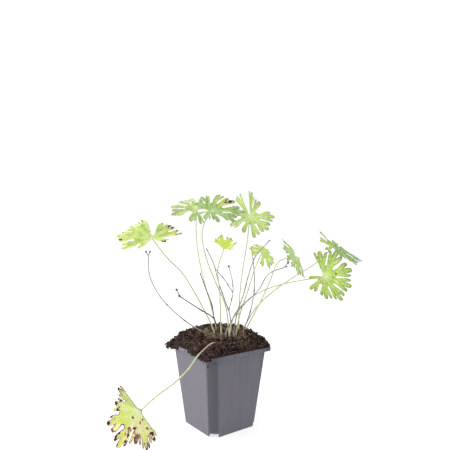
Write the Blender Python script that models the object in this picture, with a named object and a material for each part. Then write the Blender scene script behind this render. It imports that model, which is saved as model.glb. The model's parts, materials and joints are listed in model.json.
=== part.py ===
"""Potted cranesbill: a square nursery pot, its peat, a crown, ten leaves on their stems and six bare stalks.

Metres, +Z up. The origin is the middle of the pot's flat base, and X and Y are square to the pot's sides.
The plant is laid out in millimetres as it is seen from the front, (right, away, up), then turned to the pot.
"""
import math
import random

import bmesh
import bpy
from mathutils import Matrix, Vector
from mathutils.geometry import delaunay_2d_cdt

MM = 0.001
GAP = 0.3                    # clearance between pieces that touch
BOOLEAN_REACH = 1.0          # how far a cutter stands out past what it cuts

# Pot: a P9 nursery pot, 90 mm square over the rim
POT_HEIGHT = 92.0
RIM_HALF = 45.0              # half of the rim's outer width
RIM_DROP = 4.5               # how far the rim's lip hangs down
RIM_CORNER = 4.9             # length cut off each side at the rim's corners
TOP_HALF = 42.3              # half width of the wall under the rim
BASE_HALF = 32.7
TOP_CORNER = 7.8
BASE_CORNER = 8.9
WALL = 1.1
NOTCH_HEIGHT = 3.7           # each corner's foot has a notch that is open to the outside
NOTCH_HALF = 5.4
NOTCH_DEPTH = 8.5
FLOOR_CORNER = 22.0          # the inside stands back from the notches
FLOOR_STEP = 0.3
CORNER_BULGE = 0.8
DRAIN_RADIUS = 4.0
DRAIN_PLACE = 14.0
DRAIN_SIDES = 12

# Peat: a mound over the rim, highest at the back, with a crown set in its front slope
VIEW_TURN = math.radians(-36.6)
SOIL_EDGE = 94.0
SOIL_RISE = 16.0             # height of the mound over its edge where it is highest
FRONT_SHARE = 0.3            # what the front has of that rise
FRONT_END = -35.0            # how far away the front's low part ends
BACK_START = 20.0            # and where the mound reaches its full rise
SQUARENESS = 6               # powers that make the mound's plan square and its flank round
FLANK_POWER = 8
SOIL_SIDE_STEPS = 7
SOIL_ROUGH = 0.7
SOIL_LIP = 0.7               # thickness of the peat's rim
SOIL_RAGGED = (0.992, 1.012)  # how the peat's rim strays from the pot's, and what its underside keeps of it
SOIL_UNDERCUT = 0.99
MOUND_RINGS = (0.18, 0.36, 0.54, 0.70, 0.84, 0.94, 0.985)
SPILL_KEPT = 0.4             # what a spill keeps over the rim, to be joined to the peat by
SPILL_ROUGH = (0.72, 1.12)
RIM_ROOM = 20.0              # how far down the spills are kept off the pot's wall
# Peat that hangs over the rim: place and half sizes
SPILLS = (
    ((-45.5, -12.0, 92.0), (3.0, 8.0, 3.4)),
    ((-45.4, -26.0, 91.0), (3.4, 9.0, 4.0)),
    ((-44.6, -38.0, 91.5), (3.2, 6.5, 3.4)),
    ((-45.0, 36.0, 92.4), (3.2, 6.0, 2.6)),
    ((-37.0, 45.0, 92.4), (6.0, 3.2, 2.6)),
    ((-44.2, 43.2, 90.8), (2.8, 2.8, 3.6)),
)
CROWN_CENTRE = (9.0, -3.0)
CROWN_HALF = (29.0, 18.0)
CROWN_BOTTOM = 86.0
CROWN_SWELL = 2.5
CROWN_ROUGH = 0.6
CROWN_SIDES = 28
CROWN_RINGS = (0.25, 0.5, 0.75, 0.92, 1.0)
POCKET_TOP = 132.0           # top of the cutter that makes the crown's pocket

# Leaves: a fan of lobes on ribs that run from the stem's end to each lobe's tip
BLADE_THICKNESS = 0.7
RIB_REACHES = (0.22, 0.46, 0.72)
CUT_REACH = 0.40             # where the cuts between the lobes end
NOTCH_REACH = 0.76           # where the notches between a lobe's fingers end
HEEL_REACH = 0.06
WIDEST_LOBE = 46.0           # degrees between ribs past which a lobe gets no wider
OUTER_GUIDE = 0.65           # the most a guide stands outside the last rib, as a share of its length
FLAT_STEP = math.radians(40)
# Half of a lobe, from its foot to its tip. The flank: (way from the cut to the shoulder, share of the
# way to the next lobe's border). The fingers: (reach, the same share), with a notch between them.
SHOULDER = 0.80
FLANK = ((0.06, 0.80), (0.50, 0.84))
OUTER_FINGER = ((SHOULDER, 0.90), (0.92, 0.80), (0.93, 0.58))
NOTCH_SHARE = 0.36
MIDDLE_FINGER = ((0.88, 0.32), (1.0, 0.16))
# The same for a side without an outer finger
BARE_FLANK = ((0.06, 0.60), (0.50, 0.46))
BARE_FINGER = ((SHOULDER, 0.40), (0.92, 0.33), (1.0, 0.16))

STEM_FOOT = 0.88             # radii of a leaf's stem: at its foot, under the blade and at its end
STEM_TOP = 0.64
STEM_END = 0.48
STALK_RADIUS = 0.75
TWIG_RADIUS = 0.6
STALK_THINNING = 0.75
KNOB_RADIUS = 1.4            # the dry knob at a stalk's end
STEM_SIDES = 6
LINE_STEPS = 2               # pieces of a curve between two given points
WELD = 1e-6                  # flat points closer than this count as one
HOLE_EASE = 0.35
HOLE_LENGTH = 16.0           # how far a stem's hole follows it, unless it is laid over the peat for longer

YOUNG_GREEN = (0.52, 0.66, 0.085)
PALE_GREEN = (0.32, 0.455, 0.105)
BLUE_GREEN = (0.22, 0.34, 0.10)
YELLOW_GREEN = (0.40, 0.52, 0.10)
POT_GREY = (0.107, 0.10, 0.125)
PEAT_BROWN = (0.07, 0.037, 0.036)
BARK_BROWN = (0.095, 0.052, 0.038)
STRAW_BROWN = (0.24, 0.19, 0.195)

# Degrees between faces past which an edge is drawn sharp
POT_CREASE = 30
PEAT_CREASE = 50
PLANT_CREASE = 40

# Each leaf: its stem from the crown up, its lobes' tips as seen from the stem's end, how far it arches, and
# on which sides of each lobe's middle finger there is an outer one: (f)ull, (l)eft, (r)ight or (s)ingle.
# Some have their own cuts between the lobes and notches, and the lowest one's stem is laid over the peat.
LEAVES = {
    "leaf_1": {
        "stem": ((-5, -3, 96), (-7, -4, 110), (-18, -8, 134), (-30, -12, 157), (-43, -19, 179),
                 (-61, -23, 198), (-77, -25, 219)),
        "tips": ((19, -22, -4), (33, 12, 5), (17, 26, 16), (-16, 30, 21), (-31, 24, 14), (-42, 5, 2),
                 (-30, -14, -12), (-11, -23, -10)),
        "cuts": (0.45, 0.6, 0.16, 0.70, 0.68, 0.52, 0.62), "notch": 0.80,
        "fingers": "rffrfffr", "arch": 0.10, "colour": YELLOW_GREEN},
    "leaf_2": {
        "stem": ((-2, 5, 96), (-3, 6, 107), (-11, 12, 137), (-20, 23, 166), (-27, 33, 195), (-31, 42, 225),
                 (-31, 50, 256)),
        "tips": ((24, 18, 3), (7, 27, 18), (-9, 29, 16), (-24, 24, 12), (-34, -2, 4), (-31, -14, -8),
                 (-6, -26, -16), (7, -25, -20)),
        "fingers": "fsrfrfrr", "arch": 0.22, "colour": PALE_GREEN},
    "leaf_3": {
        "stem": ((11, -3, 96), (11, -4, 109), (7, -4, 139), (-5, -4, 167), (-16, -4, 196), (-21, -4, 226),
                 (-12, -10, 251)),
        "tips": ((-20, -15, -7), (-4, -27, -10), (11, -29, -13), (28, -20, -12), (40, 0, -1), (30, 21, 13),
                 (11, 28, 22), (-4, 24, 20), (-18, 12, 10)),
        "fingers": "rrlffrlrl", "arch": 0.18, "colour": BLUE_GREEN},
    "leaf_4": {
        "stem": ((23, 5, 96), (23, 6, 108), (24, 13, 143), (28, 21, 177), (34, 29, 211), (38, 30, 246)),
        "tips": ((-17, 6, 25), (-26, 2, 8), (-25, -4, -11), (-9, -9, -20), (5, -10, -26), (23, -8, -17),
                 (30, -2, 0), (13, 3, 19), (3, 7, 31)),
        "fingers": "lfrsrffrf", "arch": 0.12, "colour": PALE_GREEN},
    "leaf_5": {
        "stem": ((3, -8, 96), (2, -9, 109), (1, -11, 134), (0, -12, 159), (-2, -13, 183), (5, -15, 207)),
        "cuts": (0.76,) * 4, "notch": 0.84,
        "tips": ((10, -8, 1), (15, -4, 7), (9, 1, 12), (-3, 2, 17), (-10, -4, 12)),
        "fingers": "flfrf", "arch": 0.15, "colour": YOUNG_GREEN},
    "leaf_6": {
        "stem": ((20, -8, 96), (20, -9, 110), (25, -12, 134), (33, -15, 158), (40, -20, 182), (49, -25, 204)),
        "tips": ((-1, -9, -16), (8, -4, -19), (14, 5, -14), (11, 15, -2), (1, 16, 6), (-10, 8, 8),
                 (-16, -3, 4), (-13, -11, -3)),
        "cuts": (0.5,) * 7, "notch": 0.80, "fingers": "lffrflff", "arch": 0.25, "colour": YOUNG_GREEN},
    "leaf_7": {
        "stem": ((30, 8, 96), (31, 9, 106), (42, 12, 126), (53, 16, 146), (63, 18, 168), (72, 18, 189),
                 (93, 18, 197)),
        "tips": ((-4, 19, 12), (-15, 4, 20), (-16, -15, 10), (-13, -24, -4), (-7, -19, -12), (3, -7, -22),
                 (13, 7, -28), (11, 22, -12)),
        "cuts": (0.56, 0.60, 0.66, 0.66, 0.60, 0.56, 0.56), "notch": 0.80,
        "fingers": "rfflfffr", "arch": 0.22, "colour": BLUE_GREEN},
    "leaf_8": {
        "stem": ((12, -10, 96), (12, -11, 109), (18, -13, 131), (33, -18, 148), (51, -25, 160),
                 (72, -32, 168), (93, -38, 173), (116, -40, 177)),
        "tips": ((-17, -4, -1), (-17, -8, -13), (1, -8, -24), (18, -8, -25), (28, -6, -10), (30, -3, 8),
                 (16, 5, 28), (-4, 4, 28)),
        "fingers": "srffffff", "arch": 0.12, "colour": PALE_GREEN},
    "leaf_9": {
        "stem": ((26, 9, 96), (28, 10, 106), (44, 18, 132), (68, 25, 153), (94, 30, 170), (121, 34, 186),
                 (144, 35, 207)),
        "tips": ((5, -24, -11), (25, -17, -21), (38, 2, -18), (28, 25, -8), (7, 27, 8), (-15, 8, 20),
                 (-19, -13, 9), (-14, -22, -2)),
        "cuts": (0.45,) * 7, "fingers": "rffrlslr", "arch": 0.18, "colour": BLUE_GREEN},
    "leaf_10": {
        "stem": ((0, -14, 97), (-9, -27, 99.5), (-19, -45, 95), (-24, -51, 91), (-33, -59, 80),
                 (-47, -66, 68), (-65, -71, 56), (-81, -74, 42)),
        "laid": 48, "cuts": (0.62, 0.70, 0.55, 0.50, 0.72, 0.70), "notch": 0.78,
        "tips": ((-24, 5, 22), (-24, -6, 11), (-35, 3, -14), (-22, -3, -35), (-4, -5, -31), (8, -3, -40),
                 (15, 3, -31)),
        "fingers": "fffffff", "arch": 0.10, "colour": YELLOW_GREEN},
}

# Bare stalks: the main one first, then the twigs that grow out of it
STALKS = {
    "stalk_1": (((-12, 2, 97), (-16, 3, 104), (-37, 8, 115), (-58, 12, 131), (-75, 16, 149), (-87, 19, 172),
                 (-89, 20, 198)),
                ((-89, 20, 197), (-92, 20, 202)),
                ((-89, 20, 197), (-87, 21, 202))),
    "stalk_2": (((-3, -9, 96), (-2, -11, 109), (-7, -14, 126), (-20, -21, 136), (-32, -28, 145),
                 (-45, -35, 155)),
                ((-6, -14, 124), (-9, -17, 143), (-16, -21, 162), (-22, -26, 180)),
                ((-43, -34, 153), (-48, -35, 162))),
    "stalk_3": (((14, 4, 96), (14, 3, 107), (12, 3, 128), (5, 3, 148), (-2, 3, 168), (-7, 2, 188),
                 (-16, 0, 207)),
                ((11, 3, 131), (16, 7, 153), (15, 8, 169), (11, 8, 185)),
                ((16, 7, 153), (6, 11, 168), (-6, 13, 182))),
    "stalk_4": (((17, -12, 96), (17, -13, 111), (21, -19, 135), (28, -27, 157), (33, -36, 179),
                 (40, -46, 200), (55, -54, 218)),),
    "stalk_5": (((27, 0, 96), (28, 0, 107), (37, 6, 130), (42, 10, 155), (42, 12, 180), (39, 12, 205)),),
    "stalk_6": (((8, -15, 96), (8, -17, 111), (18, -21, 131), (30, -31, 147), (44, -41, 163), (54, -50, 181),
                 (73, -60, 190)),
                ((70, -58, 189), (74, -59, 194))),
}

# Which runs of a stalk end in a knob
KNOBS = {"stalk_1": (1, 2), "stalk_2": (0, 2), "stalk_3": (1,), "stalk_6": (1,)}


def material(name, colour, roughness):
    """A plain surface of the piece's own colour."""
    mat = bpy.data.materials.new(name)
    mat.use_nodes = True
    shader = mat.node_tree.nodes["Principled BSDF"]
    shader.inputs["Base Color"].default_value = (*colour, 1.0)
    shader.inputs["Roughness"].default_value = roughness
    shader.inputs["Metallic"].default_value = 0.0
    return mat


def mesh_object(name, verts, faces, mat=None):
    """A closed mesh from places in millimetres, with its faces turned out."""
    mesh = bpy.data.meshes.new(name)
    mesh.from_pydata([Vector(v) * MM for v in verts], [], faces)
    bm = bmesh.new()
    bm.from_mesh(mesh)
    bmesh.ops.recalc_face_normals(bm, faces=bm.faces)
    bmesh.ops.triangulate(bm, faces=bm.faces)
    bm.to_mesh(mesh)
    bm.free()
    if mat:
        mesh.materials.append(mat)
    obj = bpy.data.objects.new(name, mesh)
    bpy.context.scene.collection.objects.link(obj)
    return obj


def loft(name, rings, mat=None):
    """Closed skin over rings with equal counts of points, each end filled from its middle."""
    count = len(rings[0])
    verts = [v for ring in rings for v in ring]
    faces = []
    for row in range(len(rings) - 1):
        for i in range(count):
            a = row * count + i
            b = row * count + (i + 1) % count
            faces.append((a, b, b + count, a + count))
    for row in (0, len(rings) - 1):
        verts.append(sum((Vector(v) for v in rings[row]), Vector()) / count)
        middle = len(verts) - 1
        faces += [(row * count + i, row * count + (i + 1) % count, middle) for i in range(count)]
    return mesh_object(name, verts, faces, mat)


def unit_ball():
    """Points and faces of a ball with a radius of one."""
    bm = bmesh.new()
    bmesh.ops.create_icosphere(bm, subdivisions=2, radius=1.0)
    points = [Vector(vert.co) for vert in bm.verts]
    faces = [[vert.index for vert in face.verts] for face in bm.faces]
    bm.free()
    return points, faces


def combine(obj, others, operation):
    """Join a set of objects to one object, or cut them out of it, and remove them."""
    group = bpy.data.collections.new("operands")
    bpy.context.scene.collection.children.link(group)
    for other in others:
        group.objects.link(other)
        bpy.context.scene.collection.objects.unlink(other)
    modifier = obj.modifiers.new("combine", "BOOLEAN")
    modifier.operand_type = "COLLECTION"
    modifier.collection = group
    modifier.operation = operation
    modifier.solver = "EXACT"
    graph = bpy.context.evaluated_depsgraph_get()
    mesh = bpy.data.meshes.new_from_object(obj.evaluated_get(graph))
    obj.modifiers.clear()
    obj.data = mesh
    for other in others:
        bpy.data.objects.remove(other)
    bpy.data.collections.remove(group)


def shade_round(obj, angle):
    """Smooth shading, but for edges sharper than an angle in degrees."""
    obj.data.shade_smooth()
    obj.data.set_sharp_from_angle(angle=math.radians(angle))


def to_pot(point):
    """A place of the plant's layout, turned to the pot's own sides."""
    return Matrix.Rotation(VIEW_TURN, 3, "Z") @ Vector(point)


def square_ring(z, half, corner, side_steps=1):
    """A square outline with each corner cut off in a slight curve."""
    ring = []
    for quarter in range(4):
        turn = Matrix.Rotation(math.radians(90) * quarter, 3, "Z")
        straight = half - corner
        for step in range(side_steps):
            ring.append(turn @ Vector((half, straight * (2 * step / side_steps - 1), z)))
        ring.append(turn @ Vector((half, straight, z)))
        middle = half - corner / 2 + CORNER_BULGE / math.sqrt(2)
        ring.append(turn @ Vector((middle, middle, z)))
    return ring


def wall_half(z):
    """Half of the outer wall's width at a height."""
    return BASE_HALF + (TOP_HALF - BASE_HALF) * z / POT_HEIGHT


def wall_corner(z):
    return BASE_CORNER + (TOP_CORNER - BASE_CORNER) * z / POT_HEIGHT


def inner_rings(inset, side_steps=1):
    """The inside of the pot from above its notches down to the floor, or a smaller copy of it."""
    shelf = NOTCH_HEIGHT + inset
    return [
        square_ring(shelf, wall_half(shelf) - inset, wall_corner(shelf), side_steps),
        square_ring(shelf, wall_half(shelf) - FLOOR_STEP - inset, FLOOR_CORNER, side_steps),
        square_ring(inset, wall_half(inset) - FLOOR_STEP - inset, FLOOR_CORNER, side_steps),
    ]


def notch_cutter(quarter):
    """A block that opens the foot of one corner, square to its cut face."""
    face = (2 * BASE_HALF - BASE_CORNER) / math.sqrt(2)
    turn = Matrix.Rotation(math.radians(45 + 90 * quarter), 3, "Z")
    near = face - NOTCH_DEPTH
    far = face + 2 * NOTCH_DEPTH
    corners = ((near, -NOTCH_HALF), (far, -NOTCH_HALF), (far, NOTCH_HALF), (near, NOTCH_HALF))
    return loft("notch", [[turn @ Vector((*p, z)) for p in corners] for z in (-BOOLEAN_REACH, NOTCH_HEIGHT)])


def make_pot():
    lip_bottom = POT_HEIGHT - RIM_DROP
    rim_under = POT_HEIGHT - WALL
    lip_inner = RIM_HALF - WALL
    rings = [
        square_ring(0.0, BASE_HALF, BASE_CORNER),
        square_ring(rim_under, wall_half(rim_under), TOP_CORNER),
        square_ring(rim_under, lip_inner, RIM_CORNER),
        square_ring(lip_bottom, lip_inner, RIM_CORNER),
        square_ring(lip_bottom, RIM_HALF, RIM_CORNER),
        square_ring(POT_HEIGHT, RIM_HALF, RIM_CORNER),
        square_ring(POT_HEIGHT, TOP_HALF - WALL, TOP_CORNER),
    ] + inner_rings(WALL)
    pot = loft("pot", rings, material("grey plastic", POT_GREY, 0.55))
    cutters = [notch_cutter(quarter) for quarter in range(4)]
    for x in (-DRAIN_PLACE, DRAIN_PLACE):
        for y in (-DRAIN_PLACE, DRAIN_PLACE):
            angles = (math.tau * i / DRAIN_SIDES for i in range(DRAIN_SIDES))
            circle = [(x + DRAIN_RADIUS * math.cos(a), y + DRAIN_RADIUS * math.sin(a)) for a in angles]
            levels = (-BOOLEAN_REACH, WALL + BOOLEAN_REACH)
            cutters.append(loft("drain", [[(*p, z) for p in circle] for z in levels]))
    combine(pot, cutters, "DIFFERENCE")
    shade_round(pot, POT_CREASE)


def ground_height(x, y):
    """Height of the peat over a place of the pot, from the rim's edge to the ridge at the back."""
    away = (Matrix.Rotation(-VIEW_TURN, 3, "Z") @ Vector((x, y, 0))).y
    edge = (abs(x) ** SQUARENESS + abs(y) ** SQUARENESS) ** (1 / SQUARENESS) / RIM_HALF
    climb = max(0.0, min(1.0, (away - FRONT_END) / (BACK_START - FRONT_END)))
    share = FRONT_SHARE + (1 - FRONT_SHARE) * climb ** 2
    return SOIL_EDGE + SOIL_RISE * share * max(0.0, 1 - edge ** FLANK_POWER)


def make_soil(crown_cutter, stem_cutters):
    """The peat inside the pot and the mound on it, with a pocket for the crown and holes for stems."""
    draw = random.Random(4)
    rings = []
    outline = square_ring(0, RIM_HALF, RIM_CORNER, SOIL_SIDE_STEPS)
    for share in MOUND_RINGS:
        ring = []
        for point in outline:
            x, y = point.x * share, point.y * share
            ring.append((x, y, ground_height(x, y) + draw.uniform(-SOIL_ROUGH, SOIL_ROUGH)))
        rings.append(ring)
    seat = POT_HEIGHT + GAP
    inset = WALL + GAP
    ragged = [p * draw.uniform(*SOIL_RAGGED) for p in outline]
    rings.append([(p.x, p.y, seat + SOIL_LIP) for p in ragged])
    rings.append([(p.x * SOIL_UNDERCUT, p.y * SOIL_UNDERCUT, seat) for p in ragged])
    rings.append(square_ring(seat, TOP_HALF - inset, TOP_CORNER, SOIL_SIDE_STEPS))
    rings += inner_rings(inset, SOIL_SIDE_STEPS)
    soil = loft("soil", rings, material("peat", PEAT_BROWN, 0.95))

    room_levels = (POT_HEIGHT - RIM_ROOM, seat + SPILL_KEPT)
    rim = loft("rim room", [square_ring(z, RIM_HALF + GAP, RIM_CORNER) for z in room_levels])
    lumps = []
    for centre, half in SPILLS:
        ball, faces = unit_ball()
        reaches = [draw.uniform(*SPILL_ROUGH) for _ in ball]
        verts = [[c + h * v * r for c, h, v in zip(centre, half, spot)] for spot, r in zip(ball, reaches)]
        lumps.append(mesh_object("lump", verts, faces))
    spill = lumps[0]
    combine(spill, lumps[1:], "UNION")
    combine(spill, [rim], "DIFFERENCE")
    combine(soil, [spill], "UNION")
    combine(soil, [crown_cutter] + stem_cutters, "DIFFERENCE")
    shade_round(soil, PEAT_CREASE)


def crown_outline(grow):
    """The crown's oval outline in the pot's own axes."""
    points = []
    for i in range(CROWN_SIDES):
        a = math.tau * i / CROWN_SIDES
        x = CROWN_CENTRE[0] + (CROWN_HALF[0] + grow) * math.cos(a)
        y = CROWN_CENTRE[1] + (CROWN_HALF[1] + grow) * math.sin(a)
        points.append(to_pot((x, y, 0)))
    return points


def make_crown(stem_cutters):
    """The woody crown, a low dome that follows the peat, with a plain hole for each stem."""
    draw = random.Random(9)
    middle = to_pot((*CROWN_CENTRE, 0))
    outline = crown_outline(0.0)
    rings = []
    for share in CROWN_RINGS:
        ring = []
        for point in outline:
            spot = middle.lerp(point, share)
            swell = CROWN_SWELL * (1 - share ** 3)
            if share < 1:
                swell += draw.uniform(-CROWN_ROUGH, CROWN_ROUGH)
            ring.append((spot.x, spot.y, ground_height(spot.x, spot.y) + swell))
        rings.append(ring)
    rings.append([(p.x, p.y, CROWN_BOTTOM) for p in outline])
    crown = loft("crown", rings, material("crown bark", BARK_BROWN, 0.9))
    combine(crown, stem_cutters, "DIFFERENCE")
    shade_round(crown, PEAT_CREASE)


def smooth_line(points):
    """Points of a smooth curve through the given ones."""
    points = [Vector(p) for p in points]
    ends = [2 * points[0] - points[1]] + points + [2 * points[-1] - points[-2]]
    line = []
    for i in range(1, len(ends) - 2):
        a, b, c, d = ends[i - 1:i + 3]
        for step in range(LINE_STEPS):
            t = step / LINE_STEPS
            line.append(0.5 * (2 * b + (c - a) * t + (2 * a - 5 * b + 4 * c - d) * t ** 2
                               + (3 * b - a - 3 * c + d) * t ** 3))
    line.append(points[-1])
    return line


def tube(name, points, radii, mat=None):
    """A thin round stem along a line of points, in the pot's own axes."""
    rings = []
    side = Vector((0.0, 1.0, 0.0))
    for i, point in enumerate(points):
        along = (points[min(i + 1, len(points) - 1)] - points[max(i - 1, 0)]).normalized()
        side = (side - along * side.dot(along)).normalized()
        other = along.cross(side)
        angles = (math.tau * k / STEM_SIDES for k in range(STEM_SIDES))
        rings.append([to_pot(point + (side * math.cos(a) + other * math.sin(a)) * radii[i]) for a in angles])
    return loft(name, rings, mat)


def stem_radii(count, thick, thin):
    return [thick + (thin - thick) * i / (count - 1) for i in range(count)]


def hole_cutter(stem_points, radius, length):
    """A plain round hole along the foot of a stem, a little longer than what is buried."""
    line = smooth_line(stem_points)
    foot = []
    run = 0.0
    for a, b in zip(line, line[1:]):
        foot.append(a)
        run += (b - a).length
        if run > length:
            foot.append(b)
            break
    foot[0] = foot[0] + (foot[0] - foot[1]).normalized() * GAP
    return tube("hole", foot, [radius + HOLE_EASE] * len(foot))


def beside(tip, inner):
    """A guide just outside the fan's first or last rib."""
    step = tip - inner
    return tip + step * min(1.0, OUTER_GUIDE * tip.length / step.length)


def fan_point(tips, normal, arch, turn, reach):
    """A point of the blade: turn counts the ribs, reach runs from the stem's end to a tip."""
    guides = [beside(tips[0], tips[1])] + tips + [beside(tips[-1], tips[-2])]
    guides.append(2 * guides[-1] - guides[-2])
    k = min(max(math.floor(turn), 0), len(tips) - 2)
    t = turn - k
    p = [g * reach + normal * (arch * reach * (1 - reach) * g.length) for g in guides[k:k + 4]]
    slope_1 = (p[2] - p[0]) / 2
    slope_2 = (p[3] - p[1]) / 2
    if t < 0:
        return p[1] + slope_1 * t
    if t > 1:
        return p[2] + slope_2 * (t - 1)
    return ((2 * t ** 3 - 3 * t ** 2 + 1) * p[1] + (t ** 3 - 2 * t ** 2 + t) * slope_1
            + (3 * t ** 2 - 2 * t ** 3) * p[2] + (t ** 3 - t ** 2) * slope_2)


def half_lobe(cut, notch, full):
    """Half of a lobe's border as (reach, share), from the cut beside it to its tip."""
    flank = [(cut + (SHOULDER - cut) * way, share) for way, share in (FLANK if full else BARE_FLANK)]
    if full:
        return flank + [*OUTER_FINGER, (notch, NOTCH_SHARE), *MIDDLE_FINGER]
    return flank + [*BARE_FINGER]


def blade_outline(tips, cuts, notch, fingers):
    """The blade's border as (turn, reach), from the first lobe to the last."""
    spreads = [math.degrees(a.angle(b)) for a, b in zip(tips, tips[1:])]
    narrow = [min(1.0, WIDEST_LOBE / spread) for spread in spreads]
    before = [1.0] + narrow
    after = narrow + [1.0]
    left = (CUT_REACH, *cuts)
    right = (*cuts, CUT_REACH)
    border = []
    for k in range(len(tips)):
        rising = half_lobe(left[k], notch, fingers[k] in "fl")
        falling = reversed(half_lobe(right[k], notch, fingers[k] in "fr"))
        border += [(k - 0.5 * share * before[k], reach) for reach, share in rising]
        border += [(k + 0.5 * share * after[k], reach) for reach, share in falling]
        if k < len(tips) - 1:
            border.append((k + 0.5, cuts[k]))
    return border


def make_blade(name, leaf, tips, at, mat):
    """One thin blade, cut into lobes and fingers, split into triangles alike on both faces."""
    arch = leaf["arch"]
    normal = sum((a.cross(b) for a, b in zip(tips, tips[1:])), Vector()).normalized()
    middle = (len(tips) - 1) / 2
    cuts = leaf.get("cuts", [CUT_REACH] * (len(tips) - 1))
    border = blade_outline(tips, cuts, leaf.get("notch", NOTCH_REACH), leaf["fingers"])
    inside = [(k, reach) for k in range(len(tips)) for reach in RIB_REACHES]
    flat = []
    places = []
    for turn, reach in border + inside:
        angle = (turn - middle) * FLAT_STEP
        flat.append(Vector((reach * math.cos(angle), reach * math.sin(angle))))
        places.append(fan_point(tips, normal, arch, turn, reach))
    heel = len(border)
    flat.insert(heel, Vector((-HEEL_REACH, 0.0)))
    places.insert(heel, fan_point(tips, normal, arch, middle, 1.0) * -HEEL_REACH)
    flat.append(Vector((0.0, 0.0)))
    places.append(Vector())
    count = heel + 1
    edges = [(i, (i + 1) % count) for i in range(count)]
    _, _, faces, origins, _, _ = delaunay_2d_cdt(flat, edges, [list(range(count))], 1, WELD)
    faces = [[origins[v][0] for v in face] for face in faces]
    blade = mesh_object(name, [to_pot(at + p) for p in places], faces, mat)
    solid = blade.modifiers.new("thickness", "SOLIDIFY")
    solid.thickness = BLADE_THICKNESS * MM
    solid.offset = 0.0
    return blade


def make_leaf(name, leaf):
    """A leaf grown in one piece with its stem."""
    mat = material(name + " green", leaf["colour"], 0.5)
    at = Vector(leaf["stem"][-1])
    tips = [Vector(tip) for tip in leaf["tips"]]
    blade = make_blade(name, leaf, tips, at, mat)
    line = smooth_line(leaf["stem"])
    radii = stem_radii(len(line), STEM_FOOT, STEM_TOP)
    radii[-1] = STEM_END
    stem = tube("stem", line, radii, mat)
    graph = bpy.context.evaluated_depsgraph_get()
    blade.data = bpy.data.meshes.new_from_object(blade.evaluated_get(graph))
    blade.modifiers.clear()
    combine(blade, [stem], "UNION")
    shade_round(blade, PLANT_CREASE)


def make_stalk(name, runs):
    """A bare stalk of last year, with its twigs joined on."""
    mat = material(name + " straw", STRAW_BROWN, 0.8)
    parts = []
    for i, run in enumerate(runs):
        line = smooth_line(run)
        thick = STALK_RADIUS if i == 0 else TWIG_RADIUS
        parts.append(tube(name, line, stem_radii(len(line), thick, thick * STALK_THINNING), mat))
        if i in KNOBS.get(name, ()):
            ball, faces = unit_ball()
            knob = [to_pot(line[-1] + spot * KNOB_RADIUS) for spot in ball]
            parts.append(mesh_object("knob", knob, faces, mat))
    stalk = parts[0]
    if len(parts) > 1:
        combine(stalk, parts[1:], "UNION")
    shade_round(stalk, PLANT_CREASE)


def hole_cutters():
    feet = [(leaf["stem"], STEM_FOOT, leaf.get("laid", HOLE_LENGTH)) for leaf in LEAVES.values()]
    feet += [(runs[0], STALK_RADIUS, HOLE_LENGTH) for runs in STALKS.values()]
    return [hole_cutter(*foot) for foot in feet]


def main():
    for obj in list(bpy.data.objects):
        bpy.data.objects.remove(obj)
    make_pot()
    pocket = [[(p.x, p.y, z) for p in crown_outline(GAP)] for z in (CROWN_BOTTOM - GAP, POCKET_TOP)]
    make_soil(loft("pocket", pocket), hole_cutters())
    make_crown(hole_cutters())
    for name, leaf in LEAVES.items():
        make_leaf(name, leaf)
    for name, runs in STALKS.items():
        make_stalk(name, runs)


main()
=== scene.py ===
"""The looks of the potted cranesbill: its finer pieces, their materials, the light and the camera.

Lengths are in millimetres until a mesh is made. The plant is laid out as it is seen from the front, (right,
away, up), and turned to the pot's own sides as in the part's source.
"""

import json
import math
import random

import bmesh
import bpy
import numpy as np
from mathutils import Matrix, Vector, noise
from mathutils.geometry import delaunay_2d_cdt

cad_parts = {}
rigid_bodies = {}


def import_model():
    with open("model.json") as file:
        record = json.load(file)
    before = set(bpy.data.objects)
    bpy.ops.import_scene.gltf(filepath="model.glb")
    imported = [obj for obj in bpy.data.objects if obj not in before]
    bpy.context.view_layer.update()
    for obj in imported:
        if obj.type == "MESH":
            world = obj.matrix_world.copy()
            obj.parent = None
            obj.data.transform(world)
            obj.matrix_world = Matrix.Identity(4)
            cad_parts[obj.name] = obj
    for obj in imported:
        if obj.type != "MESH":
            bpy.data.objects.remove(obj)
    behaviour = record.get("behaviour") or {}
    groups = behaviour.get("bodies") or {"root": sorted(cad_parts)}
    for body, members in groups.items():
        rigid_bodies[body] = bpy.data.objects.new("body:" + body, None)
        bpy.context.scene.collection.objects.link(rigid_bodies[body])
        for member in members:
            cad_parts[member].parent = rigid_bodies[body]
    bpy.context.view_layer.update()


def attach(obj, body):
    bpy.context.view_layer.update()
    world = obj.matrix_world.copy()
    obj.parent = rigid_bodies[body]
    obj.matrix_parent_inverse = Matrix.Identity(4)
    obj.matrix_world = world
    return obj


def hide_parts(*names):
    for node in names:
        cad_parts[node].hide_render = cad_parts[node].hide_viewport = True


for left_over in list(bpy.data.objects):
    bpy.data.objects.remove(left_over)
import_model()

MM = 0.001
VIEW_TURN = math.radians(-36.6)
TO_POT = np.array([[math.cos(VIEW_TURN), -math.sin(VIEW_TURN), 0.0],
                   [math.sin(VIEW_TURN), math.cos(VIEW_TURN), 0.0],
                   [0.0, 0.0, 1.0]])

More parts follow.
